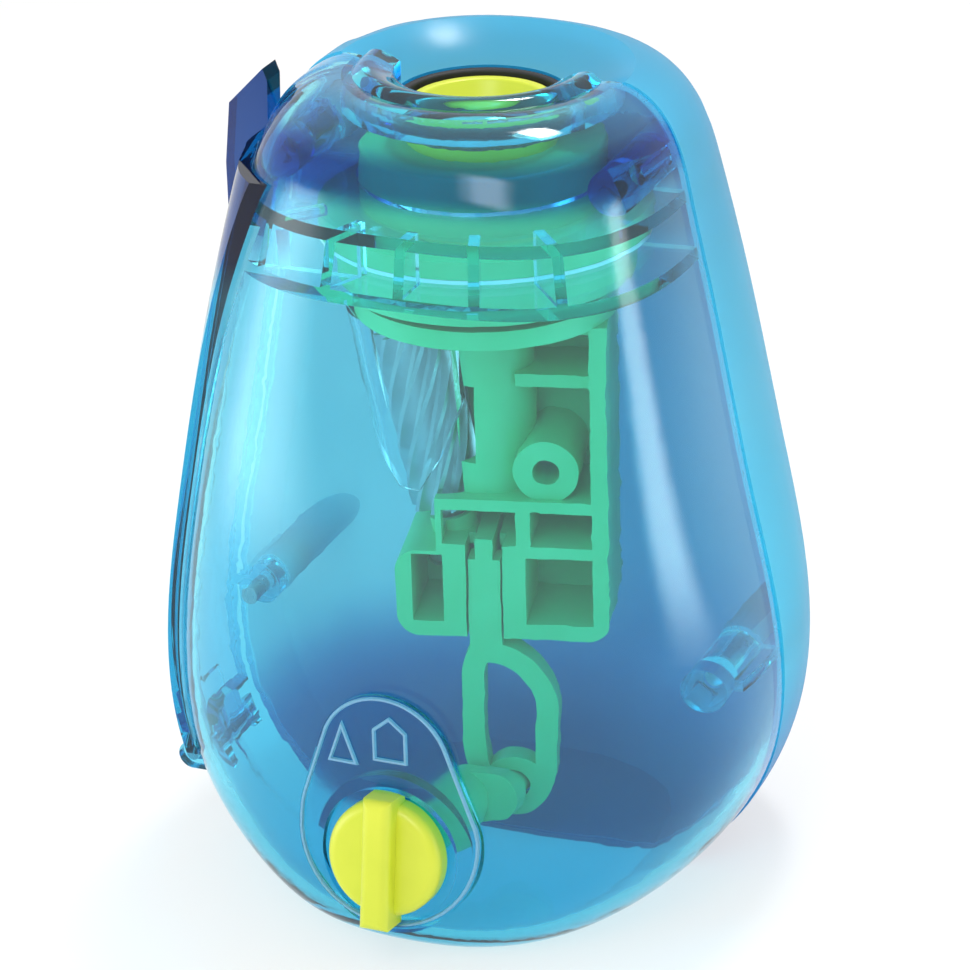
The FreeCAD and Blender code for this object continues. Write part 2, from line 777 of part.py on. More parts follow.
rails = (("left_rail", "-rail_outer", "-rail_inner"), ("right_rail", "rail_inner", "rail_outer"))
for name, left, right in rails:
    rail = box_outline(name, left, right, "frame_bottom + 1", "window_bottom - 1")
    pad(frame, rail, plate_depth + " + 0.2", True)
slot_half = "rail_inner"
pocket(
    frame,
    box_outline("slider_slot", "-" + slot_half, slot_half, "frame_bottom - 1", "window_bottom + 0.5"),
    "slider_thickness + slide_clearance + 0.4",
)
finger_half = "(stop_radius + 0.4)"
pocket(
    frame,
    box_outline("finger_slot", "-" + finger_half, finger_half, "frame_bottom - 1", "window_bottom + 0.5"),
    "frame_front + stop_radius + 0.6",
)
nest_slot = box_outline("nest_slot", "-3.2", "-1.0", "upper_rib_height - 11", "upper_rib_height")
pocket(frame, nest_slot, "frame_front")
flange = ring_outline(frame, "flange_circle", "XY_Plane", [("0", "0", "frame_flange_radius")], "frame_top")
pad(frame, flange, "frame_flange_thickness")
frame_bosses = [
    (f"frame_screw_{row}_across", f"frame_screw_{row}_height", "boss_radius") for row in ("upper", "lower")
]
rear = ring_outline(frame, "rear_bosses", "XZ_Plane", frame_bosses, "-frame_back + 0.2")
pad(frame, rear, "frame_boss_length + 0.2", True)
bores = [(x, z, "screw_radius + 0.02") for x, z, _ in frame_bosses]
rear_bores = ring_outline(frame, "rear_bores", "XZ_Plane", bores, "-frame_back + frame_plate + 1")
pocket(frame, rear_bores, "frame_boss_length + 10")
frame_turn = FreeCAD.Rotation(UP, size("frame_turn"))
frame.Placement = FreeCAD.Placement(Vector(), frame_turn)
doc.recompute()

bush_boss_radius = size("bush_boss_radius")
bush_radius = size("bush_radius")
plate_front = size("frame_back - frame_plate")


def in_frame(across, depth, height):
    """Point given square to the frame's axes, in the part's frame."""
    return frame_turn.multVec(Vector(across, depth, height))


def frame_box(across, depth, height):
    """Box square to the frame's axes, from three (low, high) pairs."""
    lows = Vector(across[0], depth[0], height[0])
    box = Part.makeBox(across[1] - across[0], depth[1] - depth[0], height[1] - height[0], lows)
    box.rotate(Vector(), UP, size("frame_turn"))
    return box


# Bush seats, and a bracket from the back plate to the lower one
lower_seat = tube(on_cutter(lower_bush_start), lean, bush_length + 1.2, bush_boss_radius)
upper_seat = tube(on_cutter(upper_bush_start - 0.4), lean, bush_length + 0.6, bush_boss_radius)
seat_middle = frame_turn.inverted().multVec(on_cutter(lower_bush_start / 2))
bracket_right = seat_middle.x + bush_boss_radius - 0.8
bracket = frame_box(
    (seat_middle.x - bush_boss_radius, bracket_right),
    (seat_middle.y, plate_front + 0.2),
    (seat_middle.z - 1.6, seat_middle.z + 2.0),
)
point_slope = math.tan(math.radians(tilt))
bore_radius = size("pencil_bore_radius + 0.3")
cone_height = bore_radius / point_slope
point_room = Part.makeCone(0.4, bore_radius + 0.4, cone_height, tip, UP)
pencil_room = tube(tip + UP * (cone_height - 0.1), UP, BIG, bore_radius)
cutter_room_start = on_cutter(lower_bush_start + bush_length + 1.2)
cutter_room = tube(cutter_room_start, lean, cutter_length + 4.2, cutter_radius + 0.5)
clip_room = tube(on_cutter(lower_bush_start - 3.2), lean, 3.2, size("clip_radius + 0.5"))
frame_shape = frame.Shape.fuse([lower_seat, upper_seat, bracket])
frame_shape = frame_shape.cut([point_room, pencil_room, cutter_room, clip_room])
for start in (lower_bush_start, upper_bush_start):
    frame_shape = frame_shape.cut(tube(on_cutter(start - 0.5), lean, bush_length + 2.0, bush_radius + 0.01))
stop_half = size("stop_radius + 0.4")
stop_room = frame_box(
    (-stop_half, stop_half),
    (-size("frame_front") - 1, stop_half),
    (size("frame_bottom") - 1, size("window_bottom") + 2),
)
frame_shape = frame_shape.cut(stop_room)
cutter_frame = solid("cutter_frame", frame_shape)

# Clear guard round the front of the cutter, hung from the frame's flange
guard_inner = cutter_radius + 1.6
guard_wall = 1.0
flange_under = size("frame_top")
guard_tube = tube(on_cutter(cutter_start - 1), lean, BIG / 4, guard_inner + guard_wall, guard_inner)
shield = Part.makePolygon([
    Vector(x, -BIG / 8, z)
    for x, z in (
        (-17.5, flange_under),
        (1.5, flange_under),
        (1.0, flange_under - 6),
        (-3.0, flange_under - 19),
        (-6.0, flange_under - 24),
        (-9.0, flange_under - 24),
        (-13.0, flange_under - 19),
        (-17.5, flange_under - 6),
        (-17.5, flange_under),
    )
])
shield = Part.Face(shield).extrude(Vector(0, BIG / 8 - 3.0, 0))
nest_room = tube(Vector(0, 0, 0), UP, BIG, size("nest_radius + turning_clearance"))
guard_shape = guard_tube.common(shield).cut(nest_room)
guard_shape = max(guard_shape.Solids, key=lambda piece: piece.Volume)
cutter_guard = solid("cutter_guard", guard_shape)

# Screws that hold the frame from behind, and their tubes on the back shell
frame_axis = frame_turn.multVec(Vector(0, 1, 0))
frame_screws = []
for row in ("upper", "lower"):
    across, height = size(f"frame_screw_{row}_across"), size(f"frame_screw_{row}_height")
    face = in_frame(across, size("frame_back + frame_boss_length"), height)
    post = tube(face, frame_axis, BIG / 4, boss_radius).common(outer[1])
    back = back.fuse(post)
    back = back.cut(tube(face, frame_axis, BIG / 4, screw_radius + 0.25))
    back = back.cut(tube(face + frame_axis * 4, frame_axis, BIG / 4, pocket_radius))
    frame_screws.append(screw(face + frame_axis * 4, -frame_axis, 4 + size("frame_boss_length") + 1))

# Point selector: knob, crank and the axis they share
selector_tilt = math.radians(size("selector_tilt"))
selector_axis = Vector(0, -math.cos(selector_tilt), math.sin(selector_tilt))
selector_up = Vector(0, math.sin(selector_tilt), math.cos(selector_tilt))
crank_point = Vector(0, -size("crank_depth"), size("crank_height"))
wall_out = reach(outer[-1], crank_point, selector_axis)
wall_in = reach(inner[-1], crank_point, selector_axis)


def on_selector(across, rise, out):
    """Point at a distance out along the selector's axis, with an offset square to it."""
    return crank_point + Vector(across, 0, 0) + selector_up * rise + selector_axis * out


def plate_wire(grow, out):
    """Egg-shaped outline round the knob: two arcs joined by their shared tangents."""
    low, low_radius = size("plate_rise"), size("plate_radius") + grow
    high, high_radius = size("plate_top_rise"), size("plate_top_radius") + grow
    slope = math.asin((low_radius - high_radius) / (high - low))

    def rim(centre, radius, angle):
        return on_selector(radius * math.cos(angle), centre + radius * math.sin(angle), out)

    right_low, left_low = rim(low, low_radius, slope), rim(low, low_radius, math.pi - slope)
    right_high, left_high = rim(high, high_radius, slope), rim(high, high_radius, math.pi - slope)
    return Part.Wire([
        Part.Arc(left_low, rim(low, low_radius, -math.pi / 2), right_low).toShape(),
        Part.makeLine(right_low, right_high),
        Part.Arc(right_high, rim(high, high_radius, math.pi / 2), left_high).toShape(),
        Part.makeLine(left_high, left_low),
    ])


plate_proud = size("plate_proud")
seat = wall_out + plate_proud - size("knob_recess")
egg_start = wall_in - 8
egg = Part.Face(plate_wire(0.0, egg_start)).extrude(selector_axis * BIG / 4)
flat_depth = wall_out + plate_proud - egg_start
flat_front = Part.Face(plate_wire(3.0, egg_start)).extrude(selector_axis * flat_depth)
plate = egg.common(case_half(-1, -plate_proud).fuse(flat_front)).cut(inner[-1])
recess_radius = size("knob_radius + knob_bar_overhang") + 0.5
floor = tube(on_selector(0, 0, seat - 2.2), selector_axis, 2.2, recess_radius + 1.6)
hub_radius = size("crank_hub_radius + 1")
hub_seat = tube(on_selector(0, 0, wall_in - 3), selector_axis, seat - wall_in + 3, hub_radius)
front = front.fuse([plate, floor])
front = front.cut(tube(on_selector(0, 0, seat), selector_axis, 20, recess_radius)).fuse(hub_seat)
spigot_bore = size("spigot_radius + running_clearance")
front = front.cut(tube(on_selector(0, 0, wall_in - 6), selector_axis, 30, spigot_bore))

hub_end = wall_in - 3.3
spigot_depth = 9.0
selector_knob = new_body("selector_knob")
knob_lift = 0.3
knob_face = f"{knob_lift} + knob_thickness"
disc = ring_outline(selector_knob, "knob_disc", "XY_Plane", [("0", "0", "knob_radius")], str(knob_lift))
pad(selector_knob, disc, "knob_thickness")
round_edges(selector_knob, "knob_rim", "1.5", lambda e: circle_at(e, size(knob_face)))
bar_end = "knob_radius + knob_bar_overhang"
bar = outline(selector_knob, "knob_bar", "XY_Plane", [
    ("-knob_bar_width / 2", f"-({bar_end})"),
    ("knob_bar_width / 2", f"-({bar_end})"),
    ("knob_bar_width / 2", bar_end),
    ("-knob_bar_width / 2", bar_end),
], f"{knob_lift} + 0.6")
pad(selector_knob, bar, "knob_thickness - 0.6 + knob_bar_height")
bar_top = size(knob_face + " + knob_bar_height")
round_edges(
    selector_knob,
    "bar_round",
    "1.2",
    lambda e: all(abs(v.Z - bar_top) < 1e-6 for v in e.Vertexes),
)
spigot_circle = [("0", "0", "spigot_radius")]
spigot = ring_outline(selector_knob, "knob_spigot", "XY_Plane", spigot_circle, f"{knob_lift} + 0.5")
pad(selector_knob, spigot, f"{seat + knob_lift + 0.5 - hub_end + spigot_depth:.5f}", True)
groove = [("0", "0", "spigot_radius + 3.2"), ("0", "0", "spigot_radius + 1.8")]
ring_groove = ring_outline(selector_knob, "ring_groove", "XY_Plane", groove, str(knob_lift))
pocket(selector_knob, ring_groove, "0.9", True)
grub = ring_outline(
    selector_knob,
    "screw_bore",
    "XY_Plane",
    [("0", "0", "screw_radius + 0.02")],
    f"{hub_end - spigot_depth - seat:.5f}",
)
pocket(selector_knob, grub, "6.5", True)
selector_knob.Placement = along(on_selector(0, 0, seat), selector_axis)

knob_friction_ring = new_body("knob_friction_ring")
ring_circles = ring_outline(knob_friction_ring, "friction_circles", "XY_Plane", groove, "0.06")
pad(knob_friction_ring, ring_circles, f"{knob_lift} + 0.9 - 0.06")
knob_friction_ring.Placement = along(on_selector(0, 0, seat), selector_axis)

selector_crank = new_body("selector_crank")
hub = ring_outline(selector_crank, "crank_hub", "XY_Plane", [("0", "0", "crank_hub_radius")])
pad(selector_crank, hub, f"{hub_end:.5f}")
rest = "crank_rest_angle * 1 deg"
pin_place = (f"crank_radius * cos({rest})", f"crank_radius * sin({rest})")
arm_half = "(crank_pin_radius + 1.4)"
arm = outline(selector_crank, "crank_arm", "XY_Plane", [
    ("0", "-crank_hub_radius + 0.6"),
    (pin_place[0], f"{pin_place[1]} - {arm_half}"),
    (pin_place[0], f"{pin_place[1]} + {arm_half}"),
    ("0", "crank_hub_radius - 0.1"),
])
pad(selector_crank, arm, "crank_arm_thickness")
knuckle = ring_outline(selector_crank, "crank_knuckle", "XY_Plane", [(*pin_place, arm_half)])
pad(selector_crank, knuckle, "crank_arm_thickness")
pin = ring_outline(selector_crank, "crank_pin", "XY_Plane", [(*pin_place, "crank_pin_radius")], "0.5")
pad(selector_crank, pin, "crank_pin_length + 0.5", True)
socket_circle = [("0", "0", "spigot_radius + 0.02")]
socket = ring_outline(selector_crank, "spigot_socket", "XY_Plane", socket_circle, f"{hub_end:.5f}")
pocket(selector_crank, socket, f"{spigot_depth}")
way_circle = [("0", "0", "screw_radius + 0.25")]
hole = ring_outline(selector_crank, "screw_way", "XY_Plane", way_circle, f"{hub_end:.5f}")
pocket(selector_crank, hole, f"{hub_end + 1:.5f}")
head_depth = f"{hub_end - spigot_depth - 5:.5f}"
head_circle = [("0", "0", "screw_head_radius + 0.3")]
head_room = ring_outline(selector_crank, "head_room", "XY_Plane", head_circle, head_depth)
pocket(selector_crank, head_room, f"{hub_end:.5f}")
selector_crank.Placement = along(crank_point, selector_axis)
crank_screw_head = on_selector(0, 0, hub_end - spigot_depth - 5)
crank_screw = solid("crank_screw", screw(crank_screw_head, selector_axis, 11.0))

# Stop slider: a stem in the frame's rails, the stop on its end, and a loop down to the crank pin
slider_front = -size("frame_front") + 0.2
slider_back = slider_front + size("slider_thickness")
slider_middle = (slider_front + slider_back) / 2
crank_radius = size("crank_radius")
rest_angle = math.radians(size("crank_rest_angle"))
turn_angle = math.radians(size("frame_turn"))
pin_across = crank_radius * math.cos(rest_angle)
foot_across = (pin_across + slider_middle * math.sin(turn_angle)) / math.cos(turn_angle)
foot_depth = foot_across * math.sin(turn_angle) + slider_middle * math.cos(turn_angle)
pin_rise = crank_radius * math.sin(rest_angle)
pin_out = (foot_depth - crank_point.y - pin_rise * math.sin(selector_tilt)) / math.cos(selector_tilt)
foot_height = crank_point.z + pin_rise * math.cos(selector_tilt) - pin_out * math.sin(selector_tilt)
loop_top = size("frame_bottom") - 1.0
foot_radius = size("foot_radius")
loop_right = size("loop_right")
arm_width = size("slider_arm_width")
strip_left = -3.4
loop_points = [
    (strip_left, loop_top - 5),
    (strip_left, foot_height + 5),
    (foot_across - foot_radius * 0.85, foot_height - foot_radius * 0.6),
    (foot_across, foot_height - foot_radius),
    (foot_across + foot_radius * 0.9, foot_height - foot_radius * 0.5),
    (loop_right, foot_height + 8),
    (loop_right, foot_height + 14),
    (loop_right - 2.5, loop_top - 3),
    (2.2, loop_top),
    (strip_left + 1.5, loop_top - 0.6),
]


def closed_curve(points):
    """Smooth closed curve through points, and the face inside it."""
    curve = Part.BSplineCurve()
    curve.interpolate(points, PeriodicFlag=True)
    return curve, Part.Face(Part.Wire(curve.toShape()))


loop_curve, loop_face = closed_curve([Vector(x, slider_front, z) for x, z in loop_points])
loop_steps = 28
inner_points = []
for k in range(loop_steps):
    at = loop_curve.FirstParameter + (loop_curve.LastParameter - loop_curve.FirstParameter) * k / loop_steps
    inward = loop_curve.tangent(at)[0].cross(Vector(0, 1, 0))
    inner_points.append(loop_curve.value(at) + inward * arm_width)
loop_room = closed_curve(inner_points)[1]
thick = Vector(0, size("slider_thickness"), 0)
slider_shape = loop_face.extrude(thick).cut(loop_room.extrude(thick))
foot_face = Vector(foot_across, slider_front, foot_height)
foot = Part.makeCylinder(foot_radius, thick.y, foot_face, Vector(0, 1, 0))
stem_half = size("rail_inner - slide_clearance")
stop_top = size("stop_height")
stop_radius = size("stop_radius")
stem_low = Vector(-stem_half, slider_front, loop_top - 2)
stem = Part.makeBox(2 * stem_half, thick.y, stop_top - 3 - loop_top + 2, stem_low)
finger_low = Vector(-stop_radius, slider_front, stop_top - 4)
finger = Part.makeBox(2 * stop_radius, stop_radius - slider_front, 4, finger_low)
slider_shape = slider_shape.fuse([foot, stem, finger])
slider_shape.rotate(Vector(), UP, size("frame_turn"))
slot_radius = size("crank_pin_radius + slide_clearance")
slot_start = on_selector(pin_across, pin_rise, 4)
slot_cuts = [tube(slot_start + Vector(dx, 0, 0), -selector_axis, 20, slot_radius) for dx in (-0.3, 0.3)]
slot_middle = Part.makeBox(0.6, 2 * slot_radius, 20, Vector(-0.3, -slot_radius, 0))
slot_middle.Placement = along(slot_start, -selector_axis)
slider_shape = slider_shape.cut(slot_cuts + [slot_middle])
stop_slider = solid("stop_slider", slider_shape)

# Shavings door on the left side: a curved cover over an opening, hinged low down, with a thumb tab on top
door_front, door_rear = size("door_front"), size("door_rear")
door_low, door_high = size("door_low"), size("door_high")
door_overlap = size("door_overlap")
door_gap, door_wall = size("door_gap"), size("door_wall")
hinge_height = size("hinge_height")
barrel_radius, barrel_length = size("hinge_barrel_radius"), size("hinge_barrel_length")
pin_radius, lug_width = size("hinge_pin_radius"), size("hinge_lug_width")
hinge_middle = -size("hinge_middle")
side_wall = reach(outer[-1], Vector(0, hinge_middle, hinge_height), Vector(-1, 0, 0))
hinge_across = -side_wall - size("hinge_stand")


def left_box(front_y, rear_y, low, high):
    """Box through the left wall between two depths and two heights."""
    return Part.makeBox(BIG, rear_y - front_y, high - low, Vector(-BIG - 8, front_y, low))


def hinge_rod(middle, length, radius):
    """Cylinder on the hinge axis, which runs along Y."""
    return tube(Vector(hinge_across, middle - length / 2, hinge_height), Vector(0, 1, 0), length, radius)


door_inside = case_half(-1, -door_gap)
door_outside = case_half(-1, -door_gap - door_wall)
door_top = door_high + size("door_rise")
cover = left_box(-door_front - door_overlap, -door_rear + door_overlap, door_low - door_overlap, door_top)
door_shape = door_outside.common(cover)
barrel_half = barrel_length / 2
strap = left_box(hinge_middle - barrel_half, hinge_middle + barrel_half, hinge_height, door_low + 2)
strap = strap.common(case_half(-1, -door_gap - door_wall - 0.8))
tab_rear = -door_rear + door_overlap
top_across = reach(outer[-1], Vector(0, tab_rear - 1, door_top), Vector(-1, 0, 0)) + door_gap + 0.3
tab_reach = size("door_tab_reach")
tab = Part.Face(Part.makePolygon([
    Vector(-x, tab_rear, z)
    for x, z in (
        (top_across - 1, door_top - 18),
        (top_across + tab_reach, door_top - 14),
        (top_across + tab_reach, door_top - 5),
        (top_across + tab_reach - 0.9, door_top + 3.4),
        (top_across + 0.4, door_top + 8.6),
        (top_across - 0.2, door_top + 7),
        (top_across, door_top),
        (top_across - 1, door_top - 18),
    )
])).extrude(Vector(0, -size("door_tab_width"), 0))
door_shape = door_shape.fuse([strap, tab]).cut(door_inside)
door_shape = door_shape.fuse(hinge_rod(hinge_middle, barrel_length, barrel_radius))
pin_bore = pin_radius + size("running_clearance")
door_shape = door_shape.cut(hinge_rod(hinge_middle, barrel_length + 2, pin_bore))
shavings_door = solid("shavings_door", door_shape)

front = front.cut(left_box(-door_front, -door_rear, door_low, door_high))
lug_gap = barrel_length / 2 + 0.4 + lug_width / 2
for middle in (hinge_middle - lug_gap, hinge_middle + lug_gap):
    arm_low = Vector(hinge_across, middle - lug_width / 2, hinge_height - 2)
    arm = Part.makeBox(side_wall, lug_width, 4, arm_low)
    lug = hinge_rod(middle, lug_width, 2.0).fuse(arm).cut(inner[-1])
    front = front.fuse(lug)
pin_length = barrel_length + 0.8 + 2 * lug_width - 0.8
front = front.cut(hinge_rod(hinge_middle, pin_length + 0.2, pin_radius + 0.02))
front = front.cut(hinge_rod(hinge_middle, barrel_length + 0.7, barrel_radius + 0.3))
front_shell = solid("front_shell", front)
back_shell = solid("back_shell", back)
door_pin = solid("door_pin", hinge_rod(hinge_middle, pin_length, pin_radius))

shell_screw_set = solid("shell_screws", Part.makeCompound(shell_screws))
frame_screw_set = solid("frame_screws", Part.makeCompound(frame_screws))

# Check and write every sub-part
nodes = [
    front_shell,
    back_shell,
    shell_screw_set,
    frame_screw_set,
    cutter_frame,
    cutter_guard,
    port_seal,
    rotor_washer,
    upper_bush,
    lower_bush,
    pencil_port,
    pencil_grip,
    ring_gear,
    helical_cutter,
    cutter_shaft,
    cutter_pinion,
    shaft_clip,
    selector_knob,
    selector_crank,
    crank_screw,
    knob_friction_ring,
    stop_slider,
    shavings_door,
    door_pin,
]
doc.recompute()
for item in doc.Objects:
    if "Invalid" in item.State or "Error" in item.State:
        raise RuntimeError(f"{item.Name} did not rebuild")
os.makedirs("parts", exist_ok=True)
for node in nodes:
    if node.Shape.isNull() or not node.Shape.isValid():
        raise RuntimeError(f"{node.Label} has no valid shape")
    node.Shape.exportStep(f"parts/{node.Label}.step")
    print(node.Label, len(node.Shape.Solids), round(node.Shape.Volume, 1))
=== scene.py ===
# %% [markdown]
# # A see-through twist pencil sharpener
# The object is a pear-shaped classroom sharpener about 114 mm tall. One hand holds the case and the
# other twists the pencil, whose grip turns a helical cutter through a small gear drive. The front of
# the case is clear blue plastic, so the green mechanism inside shows, and the back is milky blue.
# The solids come from CAD and stay where they are. This lesson gives each of them the finish of its
# real material, adds the raised lines of the knob plate, and sets up the camera and the studio.

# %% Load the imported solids
import json
import math

import bmesh
import bpy
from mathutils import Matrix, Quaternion, Vector


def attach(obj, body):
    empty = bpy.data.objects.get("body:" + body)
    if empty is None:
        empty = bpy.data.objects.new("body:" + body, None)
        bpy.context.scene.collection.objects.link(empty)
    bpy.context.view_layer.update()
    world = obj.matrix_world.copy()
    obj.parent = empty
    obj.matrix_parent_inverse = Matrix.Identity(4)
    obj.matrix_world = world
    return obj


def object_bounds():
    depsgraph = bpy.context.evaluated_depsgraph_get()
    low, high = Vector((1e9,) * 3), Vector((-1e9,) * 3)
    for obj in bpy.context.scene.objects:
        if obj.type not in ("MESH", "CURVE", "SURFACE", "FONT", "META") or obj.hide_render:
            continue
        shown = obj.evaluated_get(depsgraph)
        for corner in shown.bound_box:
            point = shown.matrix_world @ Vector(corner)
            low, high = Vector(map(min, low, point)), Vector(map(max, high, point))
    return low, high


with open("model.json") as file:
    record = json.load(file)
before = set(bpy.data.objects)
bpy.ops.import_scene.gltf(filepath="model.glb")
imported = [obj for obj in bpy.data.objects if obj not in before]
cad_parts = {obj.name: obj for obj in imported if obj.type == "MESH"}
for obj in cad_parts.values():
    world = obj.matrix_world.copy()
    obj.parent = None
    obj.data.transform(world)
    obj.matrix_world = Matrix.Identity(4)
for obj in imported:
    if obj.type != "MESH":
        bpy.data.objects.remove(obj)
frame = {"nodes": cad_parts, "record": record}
nodes = frame["nodes"]
cad_low, cad_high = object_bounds()
MM = 0.001
print(len(nodes), "solids, box in mm", [round(x / MM, 1) for x in cad_high - cad_low])

# %% [markdown]
# ## Helpers for colour and nodes
# Blender's sockets take linear light, but a colour here is given as an sRGB hex value, so one
# function turns one into the other. A second one adds a shader node, sets it and wires it up in one
# call, which keeps each finish below readable as a short list of layers. A third starts a material
# and puts its constant values on the shader's own sockets, where an export can read them.


# %% Colour
def colour(code):
    """Linear RGBA from an sRGB hex value such as 33AAEE."""
    parts = [int(code[i:i + 2], 16) / 255 for i in (0, 2, 4)]
    linear = [c / 12.92 if c <= 0.04045 else ((c + 0.055) / 1.055) ** 2.4 for c in parts]
    return (*linear, 1.0)


print("sky blue in linear light:", [round(c, 3) for c in colour("45B5E8")[:3]])


# %% Nodes
def add(tree, kind, sockets=None, links=None, **settings):
    """Add one node, then set its properties, its sockets and what feeds them."""
    node = tree.nodes.new(kind)
    for name, value in settings.items():
        setattr(node, name, value)
    for name, value in (sockets or {}).items():
        node.inputs[name].default_value = value
    for name, source in (links or {}).items():
        tree.links.new(source, node.inputs[name])
    return node


def finish(name, **sockets):
    """New material with its constant values set on the Principled shader's own sockets."""
    material = bpy.data.materials.new(name)
    material.use_nodes = True
    shader = material.node_tree.nodes["Principled BSDF"]
    for socket, value in sockets.items():
        shader.inputs[socket.replace("_", " ")].default_value = value
    return material, material.node_tree, shader


def per_metre(pattern_mm):
    """Noise scale at which one blotch of the pattern is this many millimetres across."""
    return 1 / (pattern_mm * MM)


print("a grain of 0.5 mm has a noise scale of", round(per_metre(0.5)))

# %% [markdown]
# ## The frosted plate round the knob
# The face of the mould is etched in an egg shape round the knob, so that area of the clear front
# scatters light a little. A mesh of its own could carry that finish, but the plate is part of the
# curved wall, so a mask in the material picks it out instead. The egg is what two circles span: a
# wide one near the knob and a smaller one above it, both seen along the knob's own leaning axis.

# %% Knob plate in the part's own frame
SELECTOR_TILT = math.radians(9.0)
CRANK_POINT = Vector((0, -10.5, 12.2)) * MM
SELECTOR_UP = Vector((0, math.sin(SELECTOR_TILT), math.cos(SELECTOR_TILT)))
SELECTOR_OUT = Vector((0, -math.cos(SELECTOR_TILT), math.sin(SELECTOR_TILT)))
PLATE_LOW, PLATE_LOW_RADIUS = 3.0 * MM, 13.0 * MM
PLATE_HIGH, PLATE_HIGH_RADIUS = 13.5 * MM, 9.5 * MM
PLATE_LEAST_REACH = 20 * MM
print("selector axis leans", round(math.degrees(SELECTOR_TILT)), "degrees up from level")


# %% Mask of the frosted plate
def plate_mask(tree, where):
    """1 on the egg-shaped plate round the knob, 0 elsewhere."""
    offset = add(tree, "ShaderNodeVectorMath", {1: CRANK_POINT}, {0: where},
                 operation="SUBTRACT").outputs[0]
    rise = add(tree, "ShaderNodeVectorMath", {1: SELECTOR_UP}, {0: offset},
               operation="DOT_PRODUCT").outputs["Value"]
    reach = add(tree, "ShaderNodeVectorMath", {1: SELECTOR_OUT}, {0: offset},
                operation="DOT_PRODUCT").outputs["Value"]
    across = add(tree, "ShaderNodeSeparateXYZ", links={"Vector": offset}).outputs["X"]
    spine = add(tree, "ShaderNodeClamp", {"Min": PLATE_LOW, "Max": PLATE_HIGH},
                {"Value": rise}).outputs["Result"]
    radius = add(tree, "ShaderNodeMapRange",
                 {"From Min": PLATE_LOW, "From Max": PLATE_HIGH,
                  "To Min": PLATE_LOW_RADIUS, "To Max": PLATE_HIGH_RADIUS}, {"Value": spine})
    off_spine = add(tree, "ShaderNodeMath", links={0: rise, 1: spine}, operation="SUBTRACT")
    flat = add(tree, "ShaderNodeCombineXYZ", links={"X": across, "Y": off_spine.outputs[0]})
    distance = add(tree, "ShaderNodeVectorMath", links={0: flat.outputs[0]}, operation="LENGTH")
    within = add(tree, "ShaderNodeMath", operation="LESS_THAN",
                 links={0: distance.outputs["Value"], 1: radius.outputs["Result"]})
    in_front = add(tree, "ShaderNodeMath", {1: PLATE_LEAST_REACH}, {0: reach}, operation="GREATER_THAN")
    both = add(tree, "ShaderNodeMath", operation="MULTIPLY",
               links={0: within.outputs[0], 1: in_front.outputs[0]})
    return both.outputs[0]


plate_height = PLATE_HIGH + PLATE_HIGH_RADIUS - PLATE_LOW + PLATE_LOW_RADIUS
print("plate is", round(plate_height / MM, 1), "mm tall and", round(2 * PLATE_LOW_RADIUS / MM), "mm wide")

# %% [markdown]
# ## Light through clear walls, and colour by height
# A lamp lights the inside of a clear case almost as if the case weren't there. A path tracer finds
# that way through bent light only with very many samples. So for shadow rays and diffuse rays the
# wall counts as a thin clear film, while what the eye sees is bent by the wall's real thickness.
# The colour also changes with height, partly where walls and ribs crowd together and partly as painted
# shade and a painted reflection. A colour ramp over the height in millimetres gives that without any
# texture image.


# %% Light through a clear wall
CLEAR_FILM = "F2FBFF"


def let_light_in(tree, shader):
    """Lamps and bounced light go straight through; only what the eye sees is bent."""
    path = add(tree, "ShaderNodeLightPath")
    lighting = add(tree, "ShaderNodeMath", operation="MAXIMUM",
                   links={0: path.outputs["Is Shadow Ray"], 1: path.outputs["Is Diffuse Ray"]})
    straight = add(tree, "ShaderNodeBsdfTransparent", {"Color": colour(CLEAR_FILM)})
    wall = add(tree, "ShaderNodeMixShader", links={
        0: lighting.outputs[0], 1: shader.outputs["BSDF"], 2: straight.outputs["BSDF"]})
    tree.links.new(wall.outputs["Shader"], tree.nodes["Material Output"].inputs["Surface"])


print("a clear film passes", [round(c, 2) for c in colour(CLEAR_FILM)[:3]], "of the light")


# %% Colour by height
def by_height(tree, where, stops):
    """Colour that runs through (height in mm, hex) stops, lowest first."""
    bottom, top = stops[0][0], stops[-1][0]
    across = add(tree, "ShaderNodeSeparateXYZ", links={"Vector": where})
    share = add(tree, "ShaderNodeMapRange", {"From Min": bottom * MM, "From Max": top * MM},
                {"Value": across.outputs["Z"]})
    ramp = add(tree, "ShaderNodeValToRGB", links={"Fac": share.outputs["Result"]})
    points = ramp.color_ramp.elements
    while len(points) < len(stops):
        points.new(1.0)
    for point, (height, code) in zip(points, stops):
        point.position = (height - bottom) / (top - bottom)
        point.color = colour(code)
    return ramp.outputs["Color"]


print("heights run from", round(cad_low.z / MM, 1), "to", round(cad_high.z / MM, 1), "mm")

# %% [markdown]
# ## Clear blue polystyrene
# The front of the case and the shavings door are injection-moulded clear polystyrene with a blue
# dye. The dye works along the light's path, so a thin wall is pale cyan and a rib seen edge on is
# deep blue. Colouring the surface alone can't do that, so the dye is a volume absorption inside the
# solid. A colour on the surface follows the height: the case is darker towards the bottom, the dark
# blue band under the lip is a painted reflection, and the thumb tab of the door is darkest. The gloss
# has the faint waviness of a moulded sheet. Polystyrene's index is about 1.59. It is lowered here,
# because a white studio mirrored at that index lays a grey veil over the deep blue inside.

# %% Clear case and door
RIPPLE_MM, FROST_MM = 9.0, 0.45
# The dark blue band from 104 to 107.5 mm under the lip is a painted reflection; lower down the case is
# darker towards the bottom
CASE_TINTS_AND_PAINTED_REFLECTION = [(0, "7AD4EE"), (26, "AEE8F8"), (56, "E2F9FF"), (101.5, "F0FBFF"),
              (104.0, "2A7CC6"), (107.5, "2A7CC6"), (109.5, "D2F2FA")]
DOOR_TINTS = [(0, "8CCDEC"), (86, "A8DCF2"), (91, "124E9A"), (112, "0E4086")]
PLATE_TINT, DYE, DYE_DENSITY = "9CE0F8", "38F4FA", 240.0


